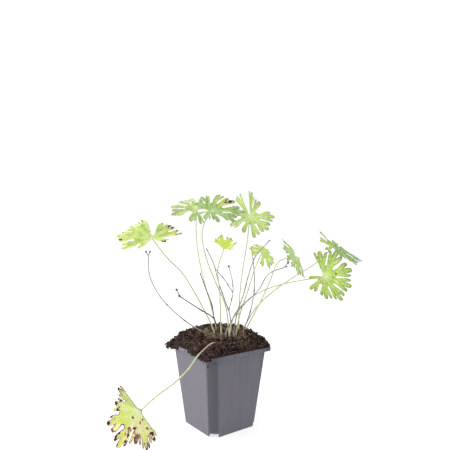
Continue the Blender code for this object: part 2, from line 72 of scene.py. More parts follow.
# The pot and the peat, as in the part's source
POT_HEIGHT = 92.0
RIM_HALF = 45.0
RIM_DROP = 4.5
RIM_CORNER = 4.9
TOP_HALF = 42.3
BASE_HALF = 32.7
TOP_CORNER = 7.8
BASE_CORNER = 8.9
WALL = 1.1
NOTCH_HEIGHT = 3.7
NOTCH_HALF = 5.4
NOTCH_DEPTH = 8.5
FLOOR_CORNER = 22.0
FLOOR_STEP = 0.3
CORNER_BULGE = 0.8
DRAIN_RADIUS = 4.0
DRAIN_PLACE = 14.0
SOIL_EDGE = 94.0
SOIL_RISE = 16.0
FRONT_SHARE = 0.3
FRONT_END = -35.0
BACK_START = 20.0
SQUARENESS = 6
FLANK_POWER = 8
SIDE_SHARE = 0.93  # how much of a side its even points take up
EDGE_RADIUS = 1.4
POT_CREASE = math.radians(32)
SPILLS = (
    ((-45.5, -12.0, 92.0), (3.0, 8.0, 3.4)),
    ((-45.4, -26.0, 91.0), (3.4, 9.0, 4.0)),
    ((-44.6, -38.0, 91.5), (3.2, 6.5, 3.4)),
    ((-45.0, 36.0, 92.4), (3.2, 6.0, 2.6)),
    ((-37.0, 45.0, 92.4), (6.0, 3.2, 2.6)),
    ((-44.2, 43.2, 90.8), (2.8, 2.8, 3.6)),
)
# Crumbs that stick to the pot's two near sides: place along the side, height and size
LEFT_CRUMBS = (
    (40, 89, 1.5), (42.5, 87.8, 1.2), (37, 86, 0.9), (34, 88, 1.1), (41, 84, 0.6), (-40, 89, 0.9),
    (-33, 88, 0.7), (-20, 89.5, 0.8), (6, 90, 0.6), (22, 88.5, 0.7), (-27, 84, 0.6), (-35, 81, 0.9),
    (-12, 83, 0.5), (30, 78, 0.5), (-30, 70, 0.4),
)
RIGHT_CRUMBS = ((-36, 86, 0.8), (-30, 83, 0.5), (-12, 89, 0.5), (8, 90, 0.6), (30, 84, 0.4))
# Crumbs that hang from the left corner: place and size
CORNER_CRUMBS = (
    (-46.4, 44.6, 91.0, 1.3), (-47.6, 45.6, 90.6, 1.0), (-48.6, 46.4, 89.9, 0.8),
    (-46.6, 44.0, 88.6, 1.6), (-46.4, 43.0, 86.8, 1.3), (-47.6, 44.2, 86.9, 1.1),
    (-45.8, 40.5, 88.4, 1.7), (-45.8, 37.5, 89.6, 1.6), (-45.6, 34.0, 90.4, 1.4),
    (-45.8, 31.0, 90.8, 1.2), (-45.9, 42.0, 90.6, 1.7), (-45.9, 28.0, 90.2, 1.5),
    (-45.8, 24.8, 90.5, 1.5), (-45.9, 21.5, 90.8, 1.4), (-46.0, 34.5, 88.6, 1.4),
    (-46.0, 30.0, 88.7, 1.3), (-49.2, 47.2, 88.9, 0.7), (-46.8, 41.5, 85.6, 1.0),
)
# Larger lumps, most of them on the ridge: right, away and size
RIDGE_LUMPS = (
    (-44, 34, 2.6), (-36, 36, 3.0), (-27, 37, 2.4), (-19, 41, 3.4), (-13, 38, 4.2), (-5, 44, 3.6),
    (2, 40, 4.4), (9, 46, 3.2), (16, 41, 3.8), (23, 38, 3.4), (28, 42, 4.4), (35, 33, 3.6),
    (40, 24, 3.0), (46, 16, 3.2), (52, 8, 2.6), (-50, 20, 2.4), (-33, 24, 3.0), (-21, 14, 2.6),
    (-38, 6, 2.6), (-28, -6, 2.4), (-16, -22, 2.6), (-8, -34, 2.4), (6, -40, 2.4), (20, -30, 2.6),
    (34, -18, 2.8), (42, -4, 2.6), (30, 22, 3.0), (-52, 30, 2.0),
)
CROWN_CENTRE = (9.0, -3.0)
CROWN_HALF = (29.0, 18.0)
CROWN_SWELL = 2.5
# Cushions of moss: right, away, radius and number of shoots
MOSS_PATCHES = (
    (-11, -7, 6.5, 190), (-16, 0, 5, 70), (-4, -14, 4, 50), (-22, 4, 4.5, 50), (27, -24, 6, 110),
    (32, -17, 5, 60), (22, -34, 4, 40), (-32, 14, 4.5, 45), (20, 34, 6, 60), (-4, 44, 4, 36),
    (38, 8, 4.5, 45), (-24, -34, 3.5, 26),
)

# The leaf's form, as in the part's source, with a finer border
CUT_REACH = 0.40  # where the cuts between lobes end, and the notches between fingers
NOTCH_REACH = 0.76
HEEL_REACH = 0.06
WIDEST_LOBE = 46.0
OUTER_GUIDE = 0.65
FLAT_STEP = math.radians(40)
SHOULDER = 0.80
FLANK = ((0.06, 0.80), (0.50, 0.84))
OUTER_FINGER = ((SHOULDER, 0.90), (0.92, 0.80), (0.93, 0.58))
NOTCH_SHARE = 0.36
MIDDLE_FINGER = ((0.88, 0.32), (1.0, 0.16))
BARE_FLANK = ((0.06, 0.60), (0.50, 0.46))
BARE_FINGER = ((SHOULDER, 0.40), (0.92, 0.33), (1.0, 0.16))
BORDER_STEPS = 5
BORDER_JITTER = (0.012, 0.03)  # in reach, and in width as a share
LOBE_JITTER = 0.02
BEHIND = 1.2  # ribs past the outer ones where the blade's part behind its stem begins
LATTICE = 0.027  # spacing of the points inside a blade of the usual size, as a share of it
USUAL_SIZE = 38.0
SMALLEST_SIZE = 22.0
RIB_END = 0.97
RIB_WIDTHS = (0.019, 0.011)  # half width at the stem, and how much of it goes towards the tip
# Branches of a lobe's rib: half width, then points as a share of the way to the lobe's side, and reach
RIB_BRANCHES = (
    (0.011, ((0, 0.36), (0.36, 0.56), (0.62, 0.72), (0.74, 0.85))),
    (0.008, ((0, 0.60), (0.14, 0.74), (0.24, 0.88))),
    (0.008, ((0, 0.20), (0.34, 0.34), (0.56, 0.50))),
    (0.007, ((0.36, 0.56), (0.56, 0.62), (0.70, 0.70))),
)
HEX_ROW = 0.866  # a row's height in a lattice of even triangles
CDT_GAP = 1e-7  # points nearer than this are one
LATTICE_HALF = 1.1
BLADE_HALF_THICKNESS = 0.16
RIB_TOP = 0.10  # how far the ribs sink on the upper side and stand out below
RIB_LOW = 0.22
RIB_DIP = 0.25
RIM_WIDTH = 2.6
FOLD = 1.5  # how far a lobe's sides rise from its rib
RUFFLE = 1.6
QUILT = 0.30
CURL = 1.2  # how far scorched borders curl
RUFFLE_SCALE = 0.11  # scales of the noise in the waves, the quilting, the marks' borders and the scorch
QUILT_SCALE = 0.45
MARK_SCALE = 0.42
SCORCH_SCALE = 0.16
MARK_REACH = 1.15  # how far a mark's fading border reaches, in its radius, and how much it wanders
MARK_WANDER = 0.9
VEIN_FADE = 0.62  # how slowly a vein's ridge falls off to its sides
SPINE_HALF = 0.055  # half width of the lighter band along a main rib
HUB_REACH = (0.04, 0.33)  # the paler middle of the blade ends between these
THIN_RIB = 0.0079  # half width under which a rib has no lighter band

# Stems, stalks and their hairs
STEM_FOOT = 0.88
STEM_TOP = 0.64
STEM_SIDES = 10
STALK_RADIUS = 0.75
TWIG_RADIUS = 0.6
STALK_THINNING = 0.75
STALK_SIDES = 9
LONG_STALK = 30.0  # stalks longer than this have joints along them
JOINT_LENGTH = 1.5
JOINT_SWELL = 0.45
JOINT_PLACES = ((0.5, 0.62), (0.25, 0.35))  # where along it they lie, between these shares
STALK_WAVE = 0.10
KNOB_RADIUS = 1.4
KNOB_SHARE = 0.88
HAIR_SPACING = 2.6
HAIR_RADIUS = 0.05
HAIR_LENGTHS = (0.6, 1.1)
HAIRLESS_POINTS = 6

# Peat, crumbs and what lies on them
PEAT_LIFT = 0.3  # how far the broken surface stands over the source's mound
PEAT_SIDE_STEPS = 34
PEAT_INSET = WALL + 0.3
PEAT_SHARES = np.concatenate([np.linspace(0.02, 0.9, 58), np.linspace(0.912, 0.99, 9)])  # its rings' sizes
RIDGE_EASE = 1.6  # how much the ridge sinks between its lumps
RIDGE_SPAN = (5, 30)  # how far away it starts to sink, and where it has sunk
SADDLE = (5.0, 16.0, 1.2)  # more of it behind the stems: middle, half width, share
LAID_POINTS = 30  # points of the lowest leaf's stem that lie on the peat
LAID_DEPTH = 0.6
LAID_CLEAR = 1.6
LAID_SLOPE = 1.3
LAID_GAP = 0.8
SMALL_CRUMBS = 1700
SMALL_SIZE = 0.5  # the least size, the mean of what is added to it, and the most
SMALL_MEAN = 0.55
SMALL_MOST = 2.8
RIM_SHARE = 0.36  # how many of them lie near the rim, and where that is
RIM_BAND = (39.0, 44.6)
LARGE_CRUMBS = 150
LARGE_SIZES = (1.8, 3.2)
LUMP_CRUMBS = 7
SPILL_CRUMBS = 46
SPILL_SIZES = (0.45, 1.35)
LOOSE_REACH = 44.0  # how far from the middle crumbs, fibres and moss lie, and then lumps and large crumbs
LUMP_REACH = 43.5
LARGE_REACH = 42.5
CUT_CORNER = 84.0  # the sum of both distances from the middle where the rim's corner is cut
MOSS_HEIGHTS = (1.2, 3.2)
MOSS_LEAN = 0.4
MOSS_LEVELS = (0.35, 0.7, 1.0)  # the rings of leaves on a shoot, as shares of its height
MOSS_LEAVES = 5
MOSS_LEAF = (0.7, 1.15)
MOSS_LEAF_HALF = 0.17
FIBRE_STEPS = 7
FIBRE_TAPER = np.array([0.6, 0.9, 1, 1, 0.9, 0.7, 0.35])
FIBRE_HEIGHT = 1.2
FIBRE_REACH = 46.0
CROWN_SIDES = 120
CROWN_SHARES = np.concatenate([np.linspace(0.03, 0.97, 30), [1.0, 1.03]])
FOOT_SCALES = 9  # round the foot of each stem, and this far from it
FOOT_RING = 2.2
LOOSE_SCALES = 150
SCALE_LENGTHS = (3.0, 7.5)
SCALE_WIDTHS = (0.6, 1.5)
SCALE_HALF_THICKNESS = 0.10
STUBS = 26
STUB_HEIGHTS = (4, 9.5)
STUB_LEAN = 0.7
STUB_RADII = (0.8, 1.6)
STUB_TAPER = np.array([1.1, 1, 0.95, 0.95, 0.95, 1.05, 0.8])
SCALE_ROWS = ((0, 0.8), (0.3, 1.0), (0.6, 0.8), (0.85, 0.4), (1.0, 0.06))  # along a scale: place and width
SCALE_COLUMNS = (-1, -0.35, 0.35, 1)
SPIKE = [(0, 1, 3), (1, 2, 3), (2, 0, 3), (2, 1, 0)]  # faces of a spike: three points and a tip

# Camera, light and floor. Light and floor in metres, the camera's place in millimetres
CAMERA_PLACE = (6.42, -540.6, 226.9)
CAMERA_TILT = 0.015
SENSOR = 36.0  # lens and sensor alike, in millimetres
LIGHT_PLACE = (-1.75, 0.05, 0.95)
LIGHT_TARGET = (0, 0, 0.15)
LIGHT_SIZE = 1.0
LIGHT_POWER = 42.0
SKY_STRENGTH = 1.04
FLOOR_GLOW = 0.72  # the photo's ground is almost white
WHITE = (1.0, 1.0, 1.0)
FLOOR_HALF = 12.0
FLOOR_DROP = -0.0002

# Stem: from its foot to the blade. Tips: the lobes' tips from there. Cuts and notch: where the cuts between
# lobes and those between fingers end, as shares of the way from the stem to a tip. Fingers: which sides of a
# lobe have an outer finger, f for both, l or r for one and s for none. Arch: how far the lobes bow up. Fold
# and ruffle: only where they are not the usual ones. Scorch: how brown the border is. Warm and spots: (turn,
# reach, width, strength) of yellow and dead marks. Thick: the stem's thickness as a share of the usual one.
LEAVES = {
    "leaf_1": {
        "stem": ((-5, -3, 96), (-7, -4, 110), (-18, -8, 134), (-30, -12, 157), (-43, -19, 179),
                 (-61, -23, 198), (-77, -25, 219)),
        "tips": ((19, -22, -4), (33, 12, 5), (17, 26, 16), (-16, 30, 21), (-31, 24, 14), (-42, 5, 2),
                 (-30, -14, -12), (-11, -23, -10)),
        "cuts": (0.45, 0.6, 0.16, 0.70, 0.68, 0.52, 0.62), "notch": 0.80,
        "fingers": "rffrfffr", "arch": 0.10, "look": "yellowing",
        "scorch": 0.12, "warm": ((1.0, 0.6, 20, 0.4), (5.0, 0.85, 9, 0.6)),
        "spots": ((4.8, 1.0, 8, 1.2), (5.3, 0.94, 8, 1.1), (2.2, 0.98, 9, 1.3), (1.85, 0.92, 11, 1.4),
                  (0.45, 0.9, 7, 1.1), (-0.05, 0.9, 13, 1.4), (0.75, 0.88, 8, 1.1), (1.05, 0.98, 7, 1.1),
                  (1.3, 0.9, 6, 1.0), (2.1, 0.55, 4, 0.7), (3.0, 0.37, 3, 0.7), (3.6, 0.13, 4, 0.7),
                  (7.25, 0.78, 6, 0.9), (5.9, 1.0, 5, 0.8), (3.1, 1.0, 5, 0.7), (1.5, 0.7, 12, 0.32),
                  (0.3, 0.6, 10, 0.34))},
    "leaf_2": {
        "stem": ((-2, 5, 96), (-3, 6, 107), (-11, 12, 137), (-20, 23, 166), (-27, 33, 195), (-31, 42, 225),
                 (-31, 50, 256)),
        "tips": ((24, 18, 3), (7, 27, 18), (-9, 29, 16), (-24, 24, 12), (-34, -2, 4), (-31, -14, -8),
                 (-6, -26, -16), (7, -25, -20)),
        "fingers": "fsrfrfrr", "arch": 0.22, "look": "shade_green", "scorch": 0.12,
        "spots": ((5.25, 0.34, 3, 0.8), (4.9, 0.19, 2, 0.7), (1.0, 0.97, 4, 0.7))},
    "leaf_3": {
        "stem": ((11, -3, 96), (11, -4, 109), (7, -4, 139), (-5, -4, 167), (-16, -4, 196), (-21, -4, 226),
                 (-12, -10, 251)),
        "tips": ((-20, -15, -7), (-4, -27, -10), (11, -29, -13), (28, -20, -12), (40, 0, -1), (30, 21, 13),
                 (11, 28, 22), (-4, 24, 20), (-18, 12, 10)),
        "fingers": "rrlffrlrl", "arch": 0.18, "look": "blue_green", "scorch": 0.15,
        "warm": ((5.1, 0.62, 20, 0.9), (6.0, 0.8, 14, 0.6), (0.6, 0.5, 12, 0.4)),
        "spots": ((5.1, 0.66, 6, 0.9), (5.05, 0.84, 8, 1.2), (5.3, 0.80, 5, 1.0), (4.7, 0.9, 4, 0.8),
                  (7.0, 0.95, 6, 0.45))},
    "leaf_4": {
        "stem": ((23, 5, 96), (23, 6, 108), (24, 13, 143), (28, 21, 177), (34, 29, 211), (38, 30, 246)),
        "tips": ((-17, 6, 25), (-26, 2, 8), (-25, -4, -11), (-9, -9, -20), (5, -10, -26), (23, -8, -17),
                 (30, -2, 0), (13, 3, 19), (3, 7, 31)),
        "fingers": "lfrsrffrf", "arch": 0.12, "look": "green", "scorch": 0.06,
        "spots": ((0.45, 0.43, 3, 0.8),)},
    "leaf_5": {
        "stem": ((3, -8, 96), (2, -9, 109), (1, -11, 134), (0, -12, 159), (-2, -13, 183), (5, -15, 207)),
        "cuts": (0.62,) * 4, "notch": 0.76,
        "tips": ((10, -8, 1), (15, -4, 7), (9, 1, 12), (-3, 2, 17), (-10, -4, 12)),
        "fingers": "flfrf", "arch": 0.15, "look": "young"},
    "leaf_6": {
        "stem": ((20, -8, 96), (20, -9, 110), (25, -12, 134), (33, -15, 158), (40, -20, 182), (49, -25, 204)),
        "tips": ((-1, -9, -16), (8, -4, -19), (14, 5, -14), (11, 15, -2), (1, 16, 6), (-10, 8, 8),
                 (-16, -3, 4), (-13, -11, -3)),
        "cuts": (0.5,) * 7, "notch": 0.80, "fingers": "lffrflff", "arch": 0.25, "look": "fresh"},
    "leaf_7": {
        "stem": ((30, 8, 96), (31, 9, 106), (42, 12, 126), (53, 16, 146), (63, 18, 168), (72, 18, 189),
                 (93, 18, 197)),
        "tips": ((-4, 19, 12), (-15, 4, 20), (-16, -15, 10), (-13, -24, -4), (-7, -19, -12), (3, -7, -22),
                 (13, 7, -28), (11, 22, -12)),
        "cuts": (0.56, 0.60, 0.66, 0.66, 0.60, 0.56, 0.56), "notch": 0.80,
        "fingers": "rfflfffr", "arch": 0.22, "look": "soft_green",
        "fold": 0.4, "ruffle": 0.6, "scorch": 0.08},
    "leaf_8": {
        "stem": ((12, -10, 96), (12, -11, 109), (18, -13, 131), (33, -18, 148), (51, -25, 160),
                 (72, -32, 168), (93, -38, 173), (116, -40, 177)),
        "tips": ((-17, -4, -1), (-17, -8, -13), (1, -8, -24), (18, -8, -25), (28, -6, -10), (30, -3, 8),
                 (16, 5, 28), (-4, 4, 28)),
        "fingers": "srffffff", "arch": 0.12, "look": "deep_green", "scorch": 0.10,
        "spots": ((4.95, 0.43, 2.6, 1.0), (3.9, 1.03, 3, 0.9), (6.9, 0.98, 5, 0.3))},
    "leaf_9": {
        "stem": ((26, 9, 96), (28, 10, 106), (44, 18, 132), (68, 25, 153), (94, 30, 170), (121, 34, 186),
                 (144, 35, 207)),
        "tips": ((5, -24, -11), (25, -17, -21), (38, 2, -18), (28, 25, -8), (7, 27, 8), (-15, 8, 20),
                 (-19, -13, 9), (-14, -22, -2)),
        "cuts": (0.45,) * 7, "fingers": "rffrlslr", "arch": 0.18, "look": "blue_green", "scorch": 0.05,
        "fold": 0.4, "ruffle": 0.6,
        "warm": ((6.0, 0.75, 22, 1.0), (7.0, 0.6, 18, 0.9), (5.0, 0.75, 18, 0.7), (4.2, 0.6, 12, 0.45),
                 (6.3, 0.35, 16, 0.8)),
        "spots": ((5.95, 1.0, 5, 0.4),)},
    "leaf_10": {
        "stem": ((0, -14, 97), (-9, -27, 99.5), (-19, -45, 95), (-24, -51, 91), (-33, -59, 80),
                 (-47, -66, 68), (-65, -71, 56), (-81, -74, 42)),
        "cuts": (0.62, 0.70, 0.55, 0.50, 0.72, 0.70), "notch": 0.78,
        "tips": ((-24, 5, 22), (-24, -6, 11), (-35, 3, -14), (-22, -3, -35), (-4, -5, -31), (8, -3, -40),
                 (15, 3, -31)),
        "fingers": "fffffff", "arch": 0.10, "look": "fading", "scorch": 0.7, "thick": 1.2,
        "warm": ((2.1, 0.56, 17, 1.2), (2.0, 0.76, 18, 1.1), (2.76, 0.66, 14, 1.2), (2.94, 0.82, 18, 1.2),
                 (3.3, 0.86, 10, 1.0), (4.62, 0.70, 12, 0.9), (4.92, 0.80, 14, 1.0)),
        "spots": ((-0.12, 0.95, 6, 1.1), (-0.02, 0.84, 5, 0.5), (0.5, 0.92, 4, 1.0), (0.6, 0.78, 4, 0.95),
                  (0.78, 0.84, 4, 1.0), (1.0, 0.97, 6, 1.1), (1.34, 0.80, 5, 1.1), (1.96, 0.98, 9, 1.2),
                  (1.66, 0.92, 5, 1.1), (2.22, 0.72, 4, 1.0), (2.44, 0.56, 4, 1.0), (2.24, 0.91, 7, 0.8),
                  (2.5, 0.25, 3.6, 1.1), (4.26, 0.34, 3.2, 1.1), (5.56, 0.24, 2.8, 0.9), (5.8, 0.54, 3, 0.9),
                  (6.08, 0.96, 6, 1.1), (6.04, 0.78, 7, 1.0), (2.56, 0.86, 6, 1.05), (2.58, 0.73, 5, 1.0),
                  (2.72, 0.95, 10, 1.1), (3.4, 0.96, 7, 1.05), (3.28, 0.82, 5, 1.0), (3.12, 0.64, 7, 1.0),
                  (3.1, 0.52, 10, 0.66), (3.74, 0.53, 6, 1.0), (3.6, 0.58, 9, 0.58), (4.06, 0.77, 14, 0.64),
                  (4.04, 0.92, 13, 0.64), (5.4, 0.73, 4.5, 1.0), (5.34, 0.91, 8, 1.05), (4.98, 0.92, 7, 0.66),
                  (5.76, 0.77, 13, 0.46), (4.15, 0.52, 14, 0.32), (3.6, 0.40, 14, 0.32),
                  (3.2, 0.34, 11, 0.28), (6.0, 0.62, 8, 0.5))},
}

STALKS = {
    "stalk_1": (((-12, 2, 97), (-16, 3, 104), (-37, 8, 115), (-58, 12, 131), (-75, 16, 149), (-87, 19, 172),
                 (-89, 20, 198)),
                ((-89, 20, 197), (-92, 20, 202)),
                ((-89, 20, 197), (-87, 21, 202))),
    "stalk_2": (((-3, -9, 96), (-2, -11, 109), (-7, -14, 126), (-20, -21, 136), (-32, -28, 145),
                 (-45, -35, 155)),
                ((-6, -14, 124), (-9, -17, 143), (-16, -21, 162), (-22, -26, 180)),
                ((-43, -34, 153), (-48, -35, 162))),
    "stalk_3": (((14, 4, 96), (14, 3, 107), (12, 3, 128), (5, 3, 148), (-2, 3, 168), (-7, 2, 188),
                 (-16, 0, 207)),
                ((11, 3, 131), (16, 7, 153), (15, 8, 169), (11, 8, 185)),
                ((16, 7, 153), (6, 11, 168), (-6, 13, 182))),
    "stalk_4": (((17, -12, 96), (17, -13, 111), (21, -19, 135), (28, -27, 157), (33, -36, 179),
                 (40, -46, 200), (55, -54, 218)),),
    "stalk_5": (((27, 0, 96), (28, 0, 107), (37, 6, 130), (42, 10, 155), (42, 12, 180), (39, 12, 205)),),
    "stalk_6": (((8, -15, 96), (8, -17, 111), (18, -21, 131), (30, -31, 147), (44, -41, 163), (54, -50, 181),
                 (73, -60, 190)),
                ((70, -58, 189), (74, -59, 194))),
}
KNOBS = {"stalk_1": (1, 2), "stalk_2": (0, 2), "stalk_3": (1,), "stalk_6": (1,)}

# Colours of the materials by their names: dark and pale, and the flecks of the peat and the bark
PALETTE = {
    "peat dark": ((0.006, 0.004, 0.004), (0.080, 0.043, 0.039), (0.26, 0.145, 0.12)),
    "peat crumb": ((0.008, 0.005, 0.005), (0.125, 0.070, 0.061), (0.34, 0.21, 0.165)),
    "crown bark": ((0.020, 0.010, 0.008), (0.095, 0.052, 0.038), (0.21, 0.13, 0.08)),
    "root fibre": ((0.05, 0.022, 0.016), (0.15, 0.078, 0.05)),
    "pale straw": ((0.17, 0.12, 0.075), (0.32, 0.25, 0.17)),
    "crown scale": ((0.07, 0.036, 0.028), (0.30, 0.20, 0.14)),
    "crown stub": ((0.08, 0.055, 0.045), (0.28, 0.23, 0.17)),
    "dry stalk": ((0.17, 0.145, 0.145), (0.41, 0.375, 0.36)),
    "dark stalk": ((0.028, 0.018, 0.020), (0.10, 0.068, 0.068)),
    "leaf stem": ((0.38, 0.405, 0.225), (0.54, 0.555, 0.365)),
    "moss green": ((0.095, 0.092, 0.022), (0.33, 0.31, 0.085)),
    "pot plastic": ((0.100, 0.094, 0.117), (0.121, 0.114, 0.141)),
    "pale floor": ((0.34, 0.34, 0.34), (0.36, 0.36, 0.36)),
}
# The stems' paler, warmer feet: partly their own colour, partly a painted highlight of the strong light on
# them
STEM_FOOT_AND_HIGHLIGHT = (0.66, 0.59, 0.42)
STALK_PATCH = (0.065, 0.047, 0.050)
KNOB = (0.058, 0.044, 0.050)
POT_CLOUD = (0.121, 0.114, 0.138)
POT_DUST = (0.07, 0.05, 0.042)
POT_SCUFF = (0.18, 0.174, 0.195)
POT_CORNER_SHADE = (0.056, 0.052, 0.067)  # painted shade: the cut corners are darker, as they face away from the light's reflection
LEAF_SOFTNESS = (0.9, 1.0, 0.25)  # how deep light goes in, by colour
STEM_SOFTNESS = (0.9, 1.0, 0.4)
MOSS_SOFTNESS = (0.6, 1.0, 0.2)
WARM_PATCH = (0.60, 0.64, 0.055)
TAN = (0.60, 0.53, 0.20)
BROWN = (0.16, 0.105, 0.045)
CHARRED = (0.018, 0.011, 0.010)
# The blades' looks: their body and its lighter patches, ribs, margin and underside, and the record's slot
LOOKS = {
    "green": dict(body=(0.32, 0.455, 0.105), light=(0.47, 0.59, 0.20), rib=(0.60, 0.68, 0.36),
                  margin=(0.25, 0.31, 0.14), under=(0.44, 0.53, 0.25), slot="leaf_green"),
    "shade_green": dict(body=(0.27, 0.395, 0.095), light=(0.42, 0.54, 0.175), rib=(0.56, 0.64, 0.34),
                        margin=(0.21, 0.27, 0.13), under=(0.41, 0.50, 0.23), slot="leaf_green"),
    "deep_green": dict(body=(0.245, 0.38, 0.045), light=(0.39, 0.54, 0.095), rib=(0.62, 0.71, 0.38),
                       margin=(0.17, 0.21, 0.085), under=(0.42, 0.50, 0.22), slot="leaf_green"),
    "soft_green": dict(body=(0.31, 0.45, 0.145), light=(0.44, 0.57, 0.22), rib=(0.56, 0.64, 0.40),
                       margin=(0.22, 0.29, 0.17), under=(0.42, 0.52, 0.30), slot="leaf_blue_green"),
    "blue_green": dict(body=(0.18, 0.295, 0.083), light=(0.285, 0.42, 0.122), rib=(0.41, 0.51, 0.265),
                       margin=(0.17, 0.25, 0.15), under=(0.36, 0.45, 0.26), slot="leaf_blue_green"),
    "young": dict(body=(0.52, 0.66, 0.085), light=(0.64, 0.75, 0.15), rib=(0.66, 0.74, 0.27),
                  margin=(0.27, 0.34, 0.10), under=(0.53, 0.62, 0.19), slot="leaf_young"),
    "fresh": dict(body=(0.41, 0.57, 0.10), light=(0.54, 0.67, 0.18), rib=(0.62, 0.71, 0.30),
                  margin=(0.26, 0.33, 0.11), under=(0.48, 0.58, 0.21), slot="leaf_young"),
    "yellowing": dict(body=(0.31, 0.435, 0.075), light=(0.43, 0.53, 0.15), rib=(0.52, 0.61, 0.30),
                      margin=(0.50, 0.55, 0.24), under=(0.45, 0.53, 0.22), slot="leaf_yellowing"),
    "fading": dict(body=(0.50, 0.60, 0.135), light=(0.64, 0.72, 0.29), rib=(0.70, 0.75, 0.46),
                   margin=(0.50, 0.47, 0.20), under=(0.54, 0.61, 0.30), slot="leaf_yellowing",
                   tan=(0.74, 0.58, 0.40), brown=(0.20, 0.095, 0.065)),
}


class Shade:
    """A material's nodes, one call a node. Patterns are placed in the object's own metres."""

    def __init__(self, name):
        self.colours = PALETTE.get(name)
        self.mat = bpy.data.materials.new(name)
        self.mat.use_nodes = True
        self.tree = self.mat.node_tree
        self.shader = self.tree.nodes["Principled BSDF"]
        self.place = self.tree.nodes.new("ShaderNodeTexCoord").outputs["Object"]

    def add(self, kind, inputs, **settings):
        node = self.tree.nodes.new(kind)
        for key, value in settings.items():
            setattr(node, key, value)
        for key, value in inputs.items():
            self.put(node.inputs[key], value)
        return node

    def put(self, socket, value):
        if isinstance(value, bpy.types.NodeSocket):
            self.tree.links.new(value, socket)
        else:
            socket.default_value = (*value, 1.0) if socket.type == "RGBA" else value

    def spot(self, stretch):
        if stretch is None:
            return self.place
        return self.add("ShaderNodeMapping", {"Vector": self.place, "Scale": stretch}).outputs[0]

    def clouds(self, scale, detail=3.0, stretch=None, rough=0.5):
        return self.add("ShaderNodeTexNoise", {"Vector": self.spot(stretch), "Scale": scale, "Detail": detail,
                                               "Roughness": rough}).outputs[0]

    def net(self, scale):
        node = self.add("ShaderNodeTexVoronoi", {"Vector": self.place, "Scale": scale},
                        feature="DISTANCE_TO_EDGE")
        return node.outputs["Distance"]

    def attr(self, name):
        return self.add("ShaderNodeAttribute", {}, attribute_name=name).outputs["Fac"]

    def ramp(self, value, low, high, to_low=0.0, to_high=1.0):
        return self.add("ShaderNodeMapRange", {"Value": value, "From Min": low, "From Max": high,
                                               "To Min": to_low, "To Max": to_high},
                        interpolation_type="SMOOTHSTEP").outputs[0]

    def calc(self, operation, a, b):
        node = self.add("ShaderNodeMath", {}, operation=operation)
        self.put(node.inputs[0], a)
        self.put(node.inputs[1], b)
        return node.outputs[0]

    def mix(self, share, a, b):
        node = self.add("ShaderNodeMix", {}, data_type="RGBA")
        self.put(node.inputs[0], share)
        self.put(node.inputs[6], a)
        self.put(node.inputs[7], b)
        return node.outputs[2]

    def bump(self, height, strength, distance):
        node = self.add("ShaderNodeBump", {"Height": height, "Strength": strength, "Distance": distance})
        self.put(self.shader.inputs["Normal"], node.outputs[0])

    def over(self, value, colour, most, span=None):
        """Lays a colour over the ones so far, as strong as the value or as its way through a span."""
        share = self.ramp(value, *span, 0.0, most) if span else self.calc("MULTIPLY", value, most)
        self.colour = self.mix(share, self.colour, colour)

    def soft(self, weight, radius, scale):
        self.set(Subsurface_Weight=weight, Subsurface_Radius=radius, Subsurface_Scale=scale)

    def set(self, **inputs):
        for key, value in inputs.items():
            self.put(self.shader.inputs[key.replace("_", " ")], value)

    def done(self, roughness, gloss):
        self.set(Base_Color=self.colour, Roughness=roughness, Specular_IOR_Level=gloss)
        return self.mat


def blade_material(name, look, seed):
    s = Shade(name)
    s.colour = s.mix(s.ramp(s.clouds(90 + seed, 4), 0.32, 0.72), look["body"], look["light"])
    s.over(s.attr("spine"), look["light"], 0.45, (0.0, 1.0))
    s.over(s.attr("warm"), WARM_PATCH, 0.9)
    edge = s.calc("ADD", s.attr("rim"), s.ramp(s.clouds(260, 3), 0.3, 0.7, -0.25, 0.25))
    s.over(edge, look["margin"], 0.9, (0.35, 1.0))
    net = s.ramp(s.net(520), 0.02, 0.14, 1.0, 0.0)
    s.over(net, look["rib"], 0.2)
    s.over(s.attr("hub"), look["rib"], 0.7)
    s.over(s.attr("vein"), look["rib"], 0.85, (0.2, 0.9))
    s.over(s.attr("under"), look["under"], 0.6)
    worn = s.calc("ADD", s.attr("age"), s.ramp(s.clouds(700, 3), 0.25, 0.75, -0.16, 0.16))
    s.over(worn, look.get("tan", TAN), 0.9, (0.16, 0.36))
    s.over(worn, look.get("brown", BROWN), 1.0, (0.40, 0.62))
    s.over(worn, CHARRED, 1.0, (0.62, 0.92))
    s.soft(0.25, LEAF_SOFTNESS, 0.0012)
    height = s.calc("ADD", s.calc("MULTIPLY", net, -0.5), s.calc("MULTIPLY", s.clouds(900, 3), 0.5))
    s.bump(height, 0.35, 0.00025)
    return s.done(s.ramp(s.clouds(300, 2), 0.3, 0.7, 0.5, 0.66), 0.22)


def stem_material():
    s = Shade("leaf stem")
    streak = s.ramp(s.clouds(900, 3, (1.0, 1.0, 0.06)), 0.35, 0.7)
    s.colour = s.mix(streak, *s.colours)
    # Partly painted highlight: towards their feet the stems turn paler and warmer, partly their own colour
    # and partly the strong light on them
    foot = s.ramp(s.attr("along"), 0.04, 0.38, 1.0, 0.0)
    foot = s.calc("ADD", foot, s.ramp(s.clouds(60, 2), 0.3, 0.8, -0.25, 0.25))
    s.over(foot, STEM_FOOT_AND_HIGHLIGHT, 0.85, (0.1, 0.9))
    s.soft(0.25, STEM_SOFTNESS, 0.0012)
    s.bump(streak, 0.3, 0.0002)
    return s.done(s.ramp(streak, 0.0, 1.0, 0.5, 0.42), 0.3)


def stalk_material(name):
    s = Shade(name)
    streak = s.ramp(s.clouds(1100, 4, (1.0, 1.0, 0.05)), 0.32, 0.68)
    s.colour = s.mix(streak, *s.colours)
    s.over(s.ramp(s.clouds(85, 3), 0.45, 0.7), STALK_PATCH, 0.45)
    s.over(s.attr("knob"), KNOB, 0.85, (0.2, 1.0))
    s.bump(streak, 0.5, 0.0002)
    return s.done(s.ramp(streak, 0.0, 1.0, 0.72, 0.6), 0.3)


